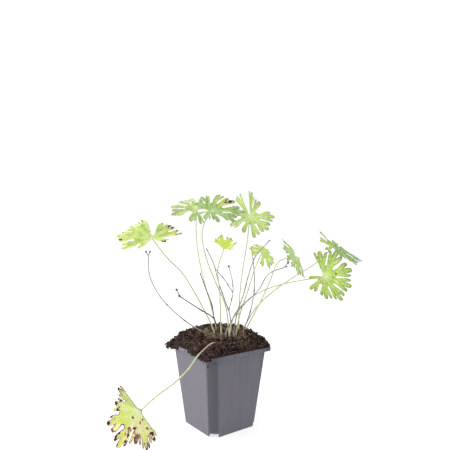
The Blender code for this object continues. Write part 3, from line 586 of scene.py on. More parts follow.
def peat_material(name):
    s = Shade(name)
    dark, brown, red = s.colours
    grain = s.clouds(560, 5, None, 0.65)
    tone = s.calc("ADD", s.ramp(grain, 0.34, 0.68), s.calc("SUBTRACT", s.attr("tone"), 0.5))
    s.colour = s.mix(tone, dark, brown)
    s.over(s.ramp(s.clouds(1300, 3), 0.58, 0.72), red, s.ramp(tone, 0.2, 1.1, 0.1, 0.8))
    damp = s.ramp(s.clouds(90, 2), 0.42, 0.62)
    s.over(damp, dark, 0.6)
    s.bump(s.calc("ADD", grain, s.clouds(2200, 3)), 0.9, 0.0008)
    return s.done(s.ramp(damp, 0.0, 1.0, 0.95, 0.78), 0.15)


def fibre_material(name):
    s = Shade(name)
    s.colour = s.mix(s.ramp(s.clouds(240, 3), 0.35, 0.65), *s.colours)
    s.bump(s.clouds(2500, 2), 0.4, 0.0002)
    return s.done(s.ramp(s.clouds(900, 2), 0.3, 0.7, 0.6, 0.8), 0.3)


def moss_material():
    s = Shade("moss green")
    s.colour = s.mix(s.ramp(s.clouds(500, 3), 0.35, 0.65), *s.colours)
    s.soft(0.2, MOSS_SOFTNESS, 0.0006)
    return s.done(s.ramp(s.clouds(1200, 2), 0.3, 0.7, 0.5, 0.7), 0.5)


def pot_material():
    s = Shade("pot plastic")
    streaks = s.clouds(150, 4, (1.0, 1.0, 0.035), 0.6)
    s.colour = s.mix(s.ramp(streaks, 0.34, 0.68), *s.colours)
    s.over(s.ramp(s.clouds(38, 3), 0.35, 0.7), POT_CLOUD, 0.35)
    dust = s.ramp(s.clouds(420, 5, None, 0.7), 0.56, 0.72)
    s.over(s.calc("MULTIPLY", s.ramp(s.attr("height"), 0.55, 1.0), dust), POT_DUST, 0.5)
    s.over(s.ramp(s.clouds(260, 5, (1.0, 1.0, 0.3), 0.7), 0.64, 0.78), POT_SCUFF, 0.35)
    # Painted shade: darkens the cut corners, which face away from the light's reflection
    s.over(s.attr("corner"), POT_CORNER_SHADE, 0.75)
    s.bump(s.calc("ADD", streaks, s.calc("MULTIPLY", s.clouds(1900, 3), 0.5)), 0.22, 0.00035)
    return s.done(s.ramp(streaks, 0.3, 0.7, 0.46, 0.62), 0.4)


def floor_material():
    s = Shade("pale floor")
    s.colour = s.mix(s.ramp(s.clouds(6, 3), 0.3, 0.7), *s.colours)
    s.set(Emission_Color=WHITE, Emission_Strength=FLOOR_GLOW)
    return s.done(0.7, 0.2)


def in_scene(name, data):
    obj = bpy.data.objects.new(name, data)
    bpy.context.scene.collection.objects.link(obj)
    return obj


class Build:
    """Gathers points, faces, material numbers and values per point for one mesh."""

    def __init__(self):
        self.points = []
        self.faces = []
        self.numbers = []
        self.values = {}
        self.count = 0

    def add(self, points, faces, number=0, **values):
        points = np.asarray(points, float)
        for key in set(self.values) | set(values):
            column = self.values.setdefault(key, [np.zeros(self.count)] if self.count else [])
            column.append(np.broadcast_to(np.asarray(values.get(key, 0.0), float), (len(points),)))
        self.points.append(points)
        self.faces += [tuple(int(v) + self.count for v in face) for face in faces]
        self.numbers += [number] * len(faces)
        self.count += len(points)

    def piece(self, name, node, materials, smooth=True):
        """Makes the mesh, in the pot's own axes and metres, attaches it to the root body and hides the part
        it stands for.
        """
        mesh = bpy.data.meshes.new(name)
        mesh.from_pydata((np.vstack(self.points) * MM).tolist(), [], self.faces)
        for key, columns in self.values.items():
            layer = mesh.attributes.new(key, "FLOAT", "POINT")
            layer.data.foreach_set("value", np.concatenate(columns).astype(np.float32))
        for mat in materials:
            mesh.materials.append(mat)
        mesh.polygons.foreach_set("material_index", self.numbers)
        if smooth:
            mesh.shade_smooth()
        mesh.validate()
        obj = in_scene(name, mesh)
        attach(obj, "root")
        if node:
            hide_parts(node)
        return obj


def closed_curve(points, steps):
    """Closed centripetal curve through the points, which makes no loops where their spacing is uneven."""
    padded = np.vstack([points[-1:], points, points[:2]])
    out = []
    for i in range(len(points)):
        a, b, c, d = padded[i:i + 4]
        t1 = np.linalg.norm(b - a) ** 0.5
        t2 = t1 + np.linalg.norm(c - b) ** 0.5
        t3 = t2 + np.linalg.norm(d - c) ** 0.5
        for t in np.linspace(t1, t2, steps, endpoint=False):
            ab = a * (t1 - t) / t1 + b * t / t1
            bc = b * (t2 - t) / (t2 - t1) + c * (t - t1) / (t2 - t1)
            cd = c * (t3 - t) / (t3 - t2) + d * (t - t2) / (t3 - t2)
            abc = ab * (t2 - t) / t2 + bc * t / t2
            bcd = bc * (t3 - t) / (t3 - t1) + cd * (t - t1) / (t3 - t1)
            out.append(abc * (t2 - t) / (t2 - t1) + bcd * (t - t1) / (t2 - t1))
    return np.array(out)


def stem_line(points, steps=8):
    """The curve that the part's source lays through a stem's points, with more points on it."""
    points = [np.asarray(p, float) for p in points]
    ends = [2 * points[0] - points[1]] + points + [2 * points[-1] - points[-2]]
    line = []
    for i in range(1, len(ends) - 2):
        a, b, c, d = ends[i - 1:i + 3]
        for t in np.linspace(0, 1, steps, endpoint=False):
            line.append(0.5 * (2 * b + (c - a) * t + (2 * a - 5 * b + 4 * c - d) * t ** 2
                               + (3 * b - a - 3 * c + d) * t ** 3))
    line.append(points[-1])
    return np.array(line)


def loft(rings):
    """Points and faces of a closed skin over rings of as many points each."""
    count = len(rings[0])
    points = np.vstack(rings)
    faces = []
    for row in range(len(rings) - 1):
        for i in range(count):
            a = row * count + i
            b = row * count + (i + 1) % count
            faces.append((a, b, b + count, a + count))
    for row, flip in ((0, True), (len(rings) - 1, False)):
        points = np.vstack([points, rings[row].mean(axis=0)])
        hub = len(points) - 1
        for i in range(count):
            a, b = row * count + i, row * count + (i + 1) % count
            faces.append((b, a, hub) if flip else (a, b, hub))
    return points, faces


def tube(line, radii, sides, ridges=0.0):
    """Points, faces and the way along (0 to 1) of a closed tube on a line."""
    line = np.asarray(line, float)
    count = len(line)
    radii = np.broadcast_to(np.asarray(radii, float), (count,))
    turns = math.tau * np.arange(sides)[:, None] / sides
    side = np.array([0.31, 0.95, 0.05])
    rings = []
    for i in range(count):
        along = unit(line[min(i + 1, count - 1)] - line[max(i - 1, 0)])
        side = unit(side - along * side.dot(along))
        other = np.cross(along, side)
        reach = radii[i] * (1 + ridges * np.cos(3 * turns))
        rings.append(line[i] + (side * np.cos(turns) + other * np.sin(turns)) * reach)
    points, faces = loft(rings)
    return points, faces, np.array(np.repeat(np.linspace(0, 1, count), sides).tolist() + [0.0, 1.0])


def to_pot(points):
    return np.asarray(points, float) @ TO_POT.T


def unit(v):
    return v / np.linalg.norm(v)


def smoothstep(x, low=0.0, high=1.0):
    t = np.clip((np.asarray(x, float) - low) / (high - low), 0.0, 1.0)
    return t * t * (3 - 2 * t)


def fan_points(tips, normal, arch, turns, reaches):
    """Points of the blade: turn counts the ribs, reach runs from the stem's end to a tip."""
    def beside(tip, inner):
        step = tip - inner
        return tip + step * min(1.0, OUTER_GUIDE * np.linalg.norm(tip) / np.linalg.norm(step))

    guides = [beside(tips[0], tips[1])] + list(tips) + [beside(tips[-1], tips[-2])]
    guides.append(2 * guides[-1] - guides[-2])
    guides = np.array(guides)
    lengths = np.linalg.norm(guides, axis=1)
    turns = np.asarray(turns, float)
    reaches = np.asarray(reaches, float)
    k = np.clip(np.floor(turns).astype(int), 0, len(tips) - 2)
    t = (turns - k)[:, None]
    p = [guides[k + j] * reaches[:, None]
         + normal * (arch * reaches * (1 - reaches) * lengths[k + j])[:, None] for j in range(4)]
    slope_1 = (p[2] - p[0]) / 2
    slope_2 = (p[3] - p[1]) / 2
    inside = ((2 * t ** 3 - 3 * t ** 2 + 1) * p[1] + (t ** 3 - 2 * t ** 2 + t) * slope_1
              + (3 * t ** 2 - 2 * t ** 3) * p[2] + (t ** 3 - t ** 2) * slope_2)
    return np.where(t < 0, p[1] + slope_1 * t, np.where(t > 1, p[2] + slope_2 * (t - 1), inside))


def to_flat(turns, reaches, middle):
    angle = (np.asarray(turns, float) - middle) * FLAT_STEP
    return np.stack([reaches * np.cos(angle), reaches * np.sin(angle)], axis=-1)


def lobe_widths(tips):
    """How much narrower each side of each lobe is where its ribs stand far apart: (before, after)."""
    spreads = [math.degrees(Vector(a).angle(Vector(b))) for a, b in zip(tips, tips[1:])]
    narrow = [min(1.0, WIDEST_LOBE / spread) for spread in spreads]
    return [1.0] + narrow, narrow + [1.0]


def fine_border(tips, cuts, notch, fingers, draw):
    """The blade's border as flat points: the source's lobes and fingers, rounded, each a little its own."""
    middle = (len(tips) - 1) / 2
    before, after = lobe_widths(tips)
    left = (CUT_REACH, *cuts)
    right = (*cuts, CUT_REACH)
    along, across = BORDER_JITTER
    rows = []
    for k in range(len(tips)):
        size = 1 + draw.uniform(-LOBE_JITTER, LOBE_JITTER)
        for sign, width, cut, full in ((-1, before[k], left[k], fingers[k] in "fl"),
                                       (1, after[k], right[k], fingers[k] in "fr")):
            half = [(cut + (SHOULDER - cut) * way, share) for way, share in (FLANK if full else BARE_FLANK)]
            half += [*OUTER_FINGER, (notch, NOTCH_SHARE), *MIDDLE_FINGER] if full else BARE_FINGER
            half = [(reach * size + draw.uniform(-along, along), share + draw.uniform(-across, across))
                    for reach, share in half]
            side = [(k + sign * 0.5 * share * width, reach) for reach, share in half]
            rows += side if sign < 0 else side[::-1]
        if k < len(tips) - 1:
            rows.append((k + 0.5, cuts[k]))
    rows = np.array(rows)
    flat = to_flat(rows[:, 0], rows[:, 1], middle)
    flat = np.vstack([flat, [[-HEEL_REACH, 0.0]]])
    return closed_curve(flat, BORDER_STEPS)


def inside_and_apart(spots, border, margin):
    """Which of the flat spots lie within the border and at least a margin from it."""
    a = border
    b = np.roll(border, -1, axis=0)
    x, y = spots[:, 0][:, None], spots[:, 1][:, None]
    crosses = (a[:, 1] > y) != (b[:, 1] > y)
    rise = np.where(b[:, 1] == a[:, 1], 1e-9, b[:, 1] - a[:, 1])
    hits = crosses & (x < (b[:, 0] - a[:, 0]) * (y - a[:, 1]) / rise + a[:, 0])
    return (hits.sum(axis=1) % 2 == 1) & (to_segments(spots, a, b).min(axis=1) > margin)


def to_segments(spots, a, b):
    """Distances from flat spots to segments."""
    run = b - a
    length = np.maximum((run ** 2).sum(axis=1), 1e-12)
    t = ((spots[:, None, :] - a) * run).sum(axis=2) / length
    near = a + np.clip(t, 0, 1)[..., None] * run
    return np.linalg.norm(spots[:, None, :] - near, axis=2)


def vein_lines(tips):
    """Flat segments of the ribs and their branches with their half widths: (starts, ends, widths)."""
    middle = (len(tips) - 1) / 2
    before, after = lobe_widths(tips)
    rows = []
    for k in range(len(tips)):
        path = [(k, reach) for reach in np.linspace(0.0, RIB_END, 9)]
        rows += [(p, q, RIB_WIDTHS[0] - RIB_WIDTHS[1] * p[1]) for p, q in zip(path, path[1:])]
        for side, width in ((-1, before[k]), (1, after[k])):
            for thick, branch in RIB_BRANCHES:
                path = [(k + side * width * 0.5 * share, reach) for share, reach in branch]
                rows += [(p, q, thick) for p, q in zip(path, path[1:])]
    starts = np.array([r[0] for r in rows])
    ends = np.array([r[1] for r in rows])
    return (to_flat(starts[:, 0], starts[:, 1], middle), to_flat(ends[:, 0], ends[:, 1], middle),
            np.array([r[2] for r in rows]))


def face_normals(points, faces):
    """Unit normals at the points of a triangle mesh."""
    tri = np.asarray(faces)
    flat = np.cross(points[tri[:, 1]] - points[tri[:, 0]], points[tri[:, 2]] - points[tri[:, 0]])
    out = np.zeros_like(points)
    for corner in range(3):
        np.add.at(out, tri[:, corner], flat)
    return out / np.maximum(np.linalg.norm(out, axis=1), 1e-9)[:, None]


def inner_points(border, step):
    """An even lattice of flat points inside the border."""
    rows = int(2 * LATTICE_HALF / (step * HEX_ROW))
    lattice = np.array([((i + 0.5 * (j % 2)) * step - LATTICE_HALF, j * step * HEX_ROW - LATTICE_HALF)
                        for j in range(rows) for i in range(int(2 * LATTICE_HALF / step))])
    return lattice[inside_and_apart(lattice, border, step * 0.5)]


def flat_mesh(border, step):
    """Flat points on the border and inside it, the triangles between them, and the border's edges."""
    spots = np.vstack([border, inner_points(border, step)])
    count = len(border)
    edges = [(i, (i + 1) % count) for i in range(count)]
    _, _, faces, origins, _, _ = delaunay_2d_cdt([Vector(p) for p in spots], edges, [list(range(count))], 1,
                                                 CDT_GAP)
    faces = [[origins[v][0] for v in face] for face in faces]
    return spots, [face for face in faces if len(set(face)) == 3], edges


def noise_at(points, scale, offset):
    return np.array([noise.noise(Vector(p) * scale + offset) for p in points])


def stain(marks, place, wander, on_blade):
    """How strongly each point is marked by patches: (turn, reach, width, strength) each."""
    if not marks:
        return np.zeros(len(place))
    marks = np.array(marks, float)
    middles = on_blade(marks[:, 0], marks[:, 1])
    gap = np.linalg.norm(place[:, None, :] - middles, axis=2) / (marks[:, 2] * 0.5)
    return (marks[:, 3] * smoothstep(MARK_REACH - gap + MARK_WANDER * wander[:, None])).max(axis=1)


def make_blade(build, leaf, seed):
    """One thin blade with ribs, folds and its brown places, added to the mesh."""
    draw = random.Random(seed)
    tips = [np.array(tip, float) for tip in leaf["tips"]]
    middle = (len(tips) - 1) / 2
    normal = unit(sum(np.cross(a, b) for a, b in zip(tips, tips[1:])))
    cuts = leaf.get("cuts", [CUT_REACH] * (len(tips) - 1))
    border = fine_border(tips, cuts, leaf.get("notch", NOTCH_REACH), leaf["fingers"], draw)
    size = float(np.mean([np.linalg.norm(tip) for tip in tips]))
    step = LATTICE * USUAL_SIZE / max(size, SMALLEST_SIZE)
    spots, faces, edges = flat_mesh(border, step)
    reach = np.linalg.norm(spots, axis=1)
    turn = np.arctan2(spots[:, 1], spots[:, 0]) / FLAT_STEP + middle
    behind = np.abs(turn - middle) > middle + BEHIND

    def on_blade(turns, reaches):
        return fan_points(tips, normal, leaf["arch"], turns, reaches)

    place = on_blade(np.where(behind, middle, turn), reach)
    heel = on_blade(np.full(len(spots), middle), np.ones(len(spots)))
    place = np.where(behind[:, None], -heel * reach[:, None], place)

    starts, ends, widths = vein_lines(tips)
    away = to_segments(spots, starts, ends)
    vein = smoothstep(1 - (away / widths).min(axis=1) * VEIN_FADE)
    main = widths > THIN_RIB
    spine = smoothstep(1 - away[:, main].min(axis=1) / SPINE_HALF)
    border_away = to_segments(spots, border, np.roll(border, -1, axis=0)).min(axis=1) * size
    rim = np.clip(1 - border_away / RIM_WIDTH, 0, 1)
    edge = rim * (0.45 + 0.75 * smoothstep(reach, 0.6, 0.95))

    share = np.abs(turn - np.round(np.clip(turn, 0, len(tips) - 1))) * 2
    fold = leaf.get("fold", FOLD) * np.clip(share, 0, 1) ** 1.2 * smoothstep(reach, 0.1, 0.7)
    offset = Vector((seed * 7.3, seed * 1.9, 3.1))
    ruffle = noise_at(place, RUFFLE_SCALE, offset) * leaf.get("ruffle", RUFFLE) * reach
    quilt = noise_at(place, QUILT_SCALE, offset) * QUILT
    wander = noise_at(place, MARK_SCALE, offset * 3)
    age = stain(leaf.get("spots"), place, wander, on_blade)
    warm = stain(leaf.get("warm"), place, wander, on_blade)
    patchy = noise_at(place, SCORCH_SCALE, -offset)
    brown = leaf.get("scorch", 0.0)
    scorch = smoothstep(rim * 0.75 + patchy * 0.9 + 0.55 * brown, 0.62, 1.05)
    age = np.maximum(age, scorch * smoothstep(rim, 0.3, 0.9) * brown * 1.1)
    hub = 1 - smoothstep(reach, *HUB_REACH)
    curl = age * smoothstep(rim) * CURL
    lift = fold + ruffle + quilt - RIB_DIP * vein + curl
    place = place + normal * lift[:, None]

    normals = face_normals(place, faces)
    top = place + normals * (BLADE_HALF_THICKNESS - RIB_TOP * vein)[:, None]
    low = place - normals * (BLADE_HALF_THICKNESS + RIB_LOW * vein)[:, None]
    total = len(spots)
    skin = [tuple(f) for f in faces] + [(f[2] + total, f[1] + total, f[0] + total) for f in faces]
    skin += [(b, a, a + total, b + total) for a, b in edges]
    at = np.array(leaf["stem"][-1], float)
    values = dict(vein=vein, spine=spine, rim=edge, age=age, hub=hub, warm=warm)
    values = {key: np.concatenate([value, value]) for key, value in values.items()}
    build.add(to_pot(at + np.vstack([top, low])), skin, 0, under=np.repeat((0.0, 1.0), total), **values)


def make_hairs(build, line, radii, draw):
    """Short soft hairs that stand off a stem."""
    for a, b, radius in zip(line, line[1:], radii):
        run = np.linalg.norm(b - a)
        for _ in range(int(run / HAIR_SPACING + draw.random())):
            along = (b - a) / run
            side = unit(np.cross(along, in_cube(draw)))
            foot = a + (b - a) * draw.random() + side * radius * 0.9
            tip = foot + side * draw.uniform(*HAIR_LENGTHS) + along * draw.uniform(-0.3, 0.3)
            other = np.cross(along, side)
            ring = [foot + (along * math.cos(t) + other * math.sin(t)) * HAIR_RADIUS for t in (0.0, 2.1, 4.2)]
            build.add(to_pot(ring + [tip]), SPIKE, 1, along=0.5)


def make_leaf(name, leaf, seed, stem_mat):
    """A blade and its stem, as one piece."""
    draw = random.Random(100 + seed)
    build = Build()
    make_blade(build, leaf, seed)
    line = stem_line(leaf["stem"])
    radii = np.linspace(STEM_FOOT, STEM_TOP, len(line))
    radii = radii * (1 + 0.06 * noise_at(line, 0.09, Vector((seed, 0, 0)))) * leaf.get("thick", 1.0)
    radii[-2:] *= (0.9, 0.55)
    points, faces, way = tube(line, radii, STEM_SIDES, 0.04)
    build.add(to_pot(points), faces, 1, along=way)
    make_hairs(build, line[HAIRLESS_POINTS:], radii[HAIRLESS_POINTS:], draw)
    look = LOOKS[leaf["look"]]
    blade_mat = blade_material(name + " blade", look, seed * 7)
    build.piece(name + "_fine", name, [blade_mat, stem_mat])


def make_stalk(name, runs, seed, mat):
    """A dry stalk and its twigs, with ridges and swollen joints, and a knob at some of their ends."""
    draw = random.Random(200 + seed)
    build = Build()
    for i, run in enumerate(runs):
        line = stem_line(run)
        thick = STALK_RADIUS if i == 0 else TWIG_RADIUS
        radii = np.linspace(thick, thick * STALK_THINNING, len(line))
        wave = noise_at(line, 0.25, Vector((seed, i, 0)))
        along = np.concatenate([[0], np.cumsum(np.linalg.norm(np.diff(line, axis=0), axis=1))])
        joints = [along[-1] - 0.6]
        if along[-1] > LONG_STALK:
            joints += [along[-1] * draw.uniform(*place) for place in JOINT_PLACES]
        knob = np.exp(-((along - np.array(joints)[:, None]) / JOINT_LENGTH) ** 2).max(axis=0)
        radii = radii * (1 + STALK_WAVE * wave + JOINT_SWELL * knob)
        points, faces, way = tube(line, radii, STALK_SIDES, 0.07)
        knob_values = np.append(np.repeat(knob, STALK_SIDES), [knob[0], 1.0])
        build.add(to_pot(points), faces, 0, along=way, knob=knob_values)
        if i in KNOBS.get(name, ()):
            ball, ball_faces = ico(3)
            lumps = 1 + 0.4 * noise_at(ball, 1.6, Vector((seed, i, 3)))
            spots = line[-1] + ball * (lumps * KNOB_RADIUS * KNOB_SHARE)[:, None]
            build.add(to_pot(spots), ball_faces, 0, along=1.0, knob=1.0)
    build.piece(name + "_fine", name, [mat])


# Pot

def rounded_ring(z, half, corner, side_steps=6):
    """The source's square outline with its cut corners, their edges rounded over."""
    straight = half - corner
    middle = half - corner / 2 + CORNER_BULGE / math.sqrt(2)
    quarter = [(half, straight * (2 * step / side_steps - 1) * SIDE_SHARE) for step in range(side_steps + 1)]

    def bend(a, b, c, radius):
        a, b, c = (np.array(p, float) for p in (a, b, c))
        start = b + unit(a - b) * radius
        end = b + unit(c - b) * radius
        return [tuple((1 - t) ** 2 * start + 2 * t * (1 - t) * b + t * t * end) for t in np.linspace(0, 1, 5)]

    radius = min(EDGE_RADIUS, corner * 0.3)
    quarter += bend((half, 0), (half, straight), (middle, middle), radius)
    quarter += bend((half, straight), (middle, middle), (straight, half), radius)
    quarter += bend((middle, middle), (straight, half), (0, half), radius)
    ring = []
    for i in range(4):
        turn = Matrix.Rotation(math.radians(90) * i, 2)
        ring += [(*(turn @ Vector(p)), z) for p in quarter]
    return np.array(ring)


def wall_half(z):
    return BASE_HALF + (TOP_HALF - BASE_HALF) * z / POT_HEIGHT


def wall_corner(z):
    return BASE_CORNER + (TOP_CORNER - BASE_CORNER) * z / POT_HEIGHT


def pot_profile():
    """The pot's outside from its foot up, round its lip and down its inside: height, half width, corner."""
    lip_low = POT_HEIGHT - RIM_DROP
    under = POT_HEIGHT - WALL
    shelf = NOTCH_HEIGHT + WALL
    profile = [
        (0.0, BASE_HALF - 0.5, BASE_CORNER),
        (0.12, BASE_HALF - 0.15, BASE_CORNER),
        (0.5, wall_half(0.5), BASE_CORNER),
    ]
    profile += [(z, wall_half(z), wall_corner(z)) for z in np.linspace(6, under - 1.0, 15)]
    profile += [
        (under - 0.3, wall_half(under) + 0.15, TOP_CORNER),
        (under, TOP_HALF + 0.5, TOP_CORNER - 0.2),
        (under, RIM_HALF - WALL, RIM_CORNER),
        (lip_low + 0.15, RIM_HALF - WALL, RIM_CORNER),
        (lip_low, RIM_HALF - WALL + 0.2, RIM_CORNER),
        (lip_low, RIM_HALF - 0.25, RIM_CORNER),
        (lip_low + 0.25, RIM_HALF, RIM_CORNER),
        (POT_HEIGHT - 0.9, RIM_HALF, RIM_CORNER),
        (POT_HEIGHT - 0.3, RIM_HALF - 0.2, RIM_CORNER),
        (POT_HEIGHT, RIM_HALF - 0.8, RIM_CORNER),
        (POT_HEIGHT, TOP_HALF - WALL + 0.3, TOP_CORNER),
        (POT_HEIGHT - 0.4, TOP_HALF - WALL, TOP_CORNER),
        (shelf, wall_half(shelf) - WALL, wall_corner(shelf)),
        (shelf, wall_half(shelf) - FLOOR_STEP - WALL, FLOOR_CORNER),
        (WALL, wall_half(WALL) - FLOOR_STEP - WALL, FLOOR_CORNER),
    ]
    return profile


def cut_foot(pot):
    """Cuts the drains and the corners' notches out of the pot's foot."""
    cutters = bpy.data.collections.new("cutters")
    bpy.context.scene.collection.children.link(cutters)

    def add_cutter(ring, high):
        cutter_points, cutter_faces = loft([ring + (0, 0, -1), ring + (0, 0, high)])
        mesh = bpy.data.meshes.new("cutter")
        mesh.from_pydata((cutter_points * MM).tolist(), [], cutter_faces)
        cutters.objects.link(bpy.data.objects.new("cutter", mesh))

    circle = np.array([(math.cos(a), math.sin(a), 0) for a in np.linspace(0, math.tau, 32, endpoint=False)])
    for x in (-DRAIN_PLACE, DRAIN_PLACE):
        for y in (-DRAIN_PLACE, DRAIN_PLACE):
            add_cutter(circle * DRAIN_RADIUS + (x, y, 0), WALL + 1)
    face = (2 * BASE_HALF - BASE_CORNER) / math.sqrt(2)
    near, far = face - NOTCH_DEPTH, face + 2 * NOTCH_DEPTH
    left, right = -NOTCH_HALF, NOTCH_HALF
    block = np.array([(near, left, 0), (far, left, 0), (far, right, 0), (near, right, 0)])
    for quarter in range(4):
        turn = np.array(Matrix.Rotation(math.radians(45 + 90 * quarter), 3, "Z"))
        add_cutter(block @ turn.T, NOTCH_HEIGHT)
    cut = pot.modifiers.new("cutters", "BOOLEAN")
    cut.operand_type = "COLLECTION"
    cut.collection = cutters
    cut.solver = "EXACT"
    mesh = bpy.data.meshes.new_from_object(pot.evaluated_get(bpy.context.evaluated_depsgraph_get()))
    pot.modifiers.clear()
    pot.data = mesh
    for obj in list(cutters.objects):
        bpy.data.objects.remove(obj)
    bpy.data.collections.remove(cutters)


def make_pot(mat):
    """The pot with its edges rounded."""
    points, faces = loft([rounded_ring(*row) for row in pot_profile()])
    build = Build()
    sides = np.sort(np.abs(points[:, :2]), axis=1)
    # Where the cut corners lie, for the painted shade on them
    corner = smoothstep(sides[:, 0] / np.maximum(sides[:, 1], 1e-6), 0.74, 0.80)
    build.add(points, faces, 0, height=points[:, 2] / POT_HEIGHT, corner=corner)
    pot = build.piece("pot_fine", "pot", [mat])
    cut_foot(pot)
    pot.data.set_sharp_from_angle(angle=POT_CREASE)


# Peat

def ground_height(x, y):
    away = -math.sin(VIEW_TURN) * x + math.cos(VIEW_TURN) * y
    edge = (np.abs(x) ** SQUARENESS + np.abs(y) ** SQUARENESS) ** (1 / SQUARENESS) / RIM_HALF
    climb = np.clip((away - FRONT_END) / (BACK_START - FRONT_END), 0, 1)
    share = FRONT_SHARE + (1 - FRONT_SHARE) * climb ** 2
    return SOIL_EDGE + SOIL_RISE * share * np.maximum(0.0, 1 - edge ** FLANK_POWER)


def under_stem(points):
    """The most height the peat may have at each point, so that the laid stem shows on top of it."""
    line = to_pot(stem_line(LEAVES["leaf_10"]["stem"])[:LAID_POINTS])
    points = np.atleast_2d(points)
    apart = np.linalg.norm(points[:, None, :2] - line[None, :, :2], axis=2)
    near = apart.argmin(axis=1)
    away = apart[np.arange(len(points)), near]
    return line[near, 2] - STEM_FOOT * LAID_DEPTH + np.maximum(0.0, away - LAID_CLEAR) * LAID_SLOPE


def crown_share(layout, grow=0.0):
    """0 in the middle of the crown and 1 at its edge, squared, for points of the front view's layout."""
    right = (layout[..., 0] - CROWN_CENTRE[0]) / (CROWN_HALF[0] + grow)
    away = (layout[..., 1] - CROWN_CENTRE[1]) / (CROWN_HALF[1] + grow)
    return right ** 2 + away ** 2


def ease(layout):
    """How much the ridge sinks at each point of the front view's layout."""
    middle, half, share = SADDLE
    saddle = 1 + share * np.exp(-((layout[:, 0] - middle) / half) ** 2)
    return RIDGE_EASE * smoothstep(layout[:, 1], *RIDGE_SPAN) * saddle


def clods(points):
    """How far the peat's clods and crumbs stand out at each point."""
    big = cell_bumps(points, 0.13)
    small = cell_bumps(points, 0.34, Vector((5, 1, 7)))
    return 3.0 * big + 1.7 * small + 0.6 * noise_at(points, 0.9, Vector())


def cell_bumps(points, scale, offset=Vector()):
    return np.array([0.5 - noise.voronoi(Vector(p) * scale + offset)[0][0] for p in points])


def make_peat(mat):
    """The peat's ragged mound, with its body inside the pot."""
    build = Build()
    outline = rounded_ring(0.0, RIM_HALF - 0.4, RIM_CORNER, PEAT_SIDE_STEPS)
    top = np.vstack([outline * share for share in PEAT_SHARES])
    top[:, 2] = ground_height(top[:, 0], top[:, 1]) + PEAT_LIFT
    rough = clods(top)
    layout = top @ TO_POT
    sink = 1.5 * smoothstep(1.1 - crown_share(layout), 0.0, 0.5)
    fade = np.repeat(smoothstep(1.02 - PEAT_SHARES, 0.0, 0.10) * 0.8 + 0.2, len(outline))
    top[:, 2] += rough * fade * 1.25 - sink - ease(layout)
    top[:, 2] = np.minimum(top[:, 2], under_stem(top))
    rings = list(top.reshape(-1, len(outline), 3))
    ragged = outline * (1 + 0.010 * clods(outline * 1.3)[:, None])
    seat = POT_HEIGHT + 0.3
    shelf = NOTCH_HEIGHT + PEAT_INSET
    rings += [ragged + (0, 0, seat + 0.8), ragged * 0.99 + (0, 0, seat)]
    rings += [rounded_ring(z, half, corner, PEAT_SIDE_STEPS) for z, half, corner in (
        (seat, TOP_HALF - PEAT_INSET, TOP_CORNER),
        (shelf, wall_half(shelf) - PEAT_INSET, wall_corner(shelf)),
        (shelf, wall_half(shelf) - FLOOR_STEP - PEAT_INSET, FLOOR_CORNER),
        (PEAT_INSET, wall_half(PEAT_INSET) - FLOOR_STEP - PEAT_INSET, FLOOR_CORNER))]
    points, faces = loft(rings)
    build.add(points, [face[::-1] for face in faces], tone=0.45)
    ball, ball_faces = ico(4)
    for centre, half in SPILLS:
        shape = np.array(centre) + ball * np.array(half) * 0.82
        shape = shape + ball * (clods(shape * 1.6) * 0.9)[:, None]
        shape[:, 2] = np.minimum(shape[:, 2], under_stem(shape))
        build.add(shape, ball_faces, tone=0.4)
    build.piece("peat_mound", "soil", [mat])


def ico(level):
    bm = bmesh.new()
    bmesh.ops.create_icosphere(bm, subdivisions=level, radius=1.0)
    points = np.array([v.co for v in bm.verts])
    faces = [tuple(v.index for v in face.verts) for face in bm.faces]
    bm.free()
    return points, faces


def ground_spot(x, y):
    """A point on the peat's rough surface, in the pot's axes."""
    base = np.array([[x, y, ground_height(x, y) + PEAT_LIFT]])
    base[0, 2] += clods(base)[0] - ease(base @ TO_POT)[0]
    base[0, 2] = min(base[0, 2], under_stem(base)[0] - LAID_GAP)
    return base[0]


def on_square(draw, reach):
    return draw.uniform(-reach, reach), draw.uniform(-reach, reach)


def in_cube(draw):
    return [draw.uniform(-1, 1) for _ in range(3)]


def in_crown(x, y, grow=0.0):
    return crown_share(np.array([x, y, 0.0]) @ TO_POT, grow) < 1


def crumb(build, balls, spot, size, draw):
    """One broken crumb of peat with its own tone."""
    ball, faces = balls[1] if size > 1.0 else balls[0]
    stretch = np.array([draw.uniform(0.6, 1.35) for _ in range(3)])
    turn = np.array(Matrix.Rotation(draw.uniform(0, 6.3), 3, Vector(in_cube(draw))))
    shift = Vector((draw.uniform(0, 90), 0, 0))
    lumps = 1 + 0.9 * noise_at(ball, 1.6, shift)
    shape = spot + (ball * lumps[:, None] * stretch * size) @ turn.T
    shape[:, 2] = np.minimum(shape[:, 2], under_stem(shape))
    build.add(shape, faces, tone=min(1.0, max(0.0, draw.gauss(0.5, 0.28))))


def loose_crumbs(build, balls, draw):
    for _ in range(SMALL_CRUMBS):
        size = min(SMALL_SIZE + draw.expovariate(1 / SMALL_MEAN), SMALL_MOST)
        a, b = on_square(draw, LOOSE_REACH)
        if draw.random() < RIM_SHARE:
            a = draw.choice((-1, 1)) * draw.uniform(*RIM_BAND)
            if draw.random() < 0.5:
                a, b = b, a
        if abs(a) + abs(b) > CUT_CORNER or (in_crown(a, b, -3) and draw.random() < 0.7):
            continue
        spot = ground_spot(a, b)
        spot[2] += size * 0.3
        crumb(build, balls, spot, size, draw)
    for _ in range(LARGE_CRUMBS):
        a, b = on_square(draw, LARGE_REACH)
        if abs(a) + abs(b) < CUT_CORNER - 4 and not in_crown(a, b):
            crumb(build, balls, ground_spot(a, b), draw.uniform(*LARGE_SIZES), draw)


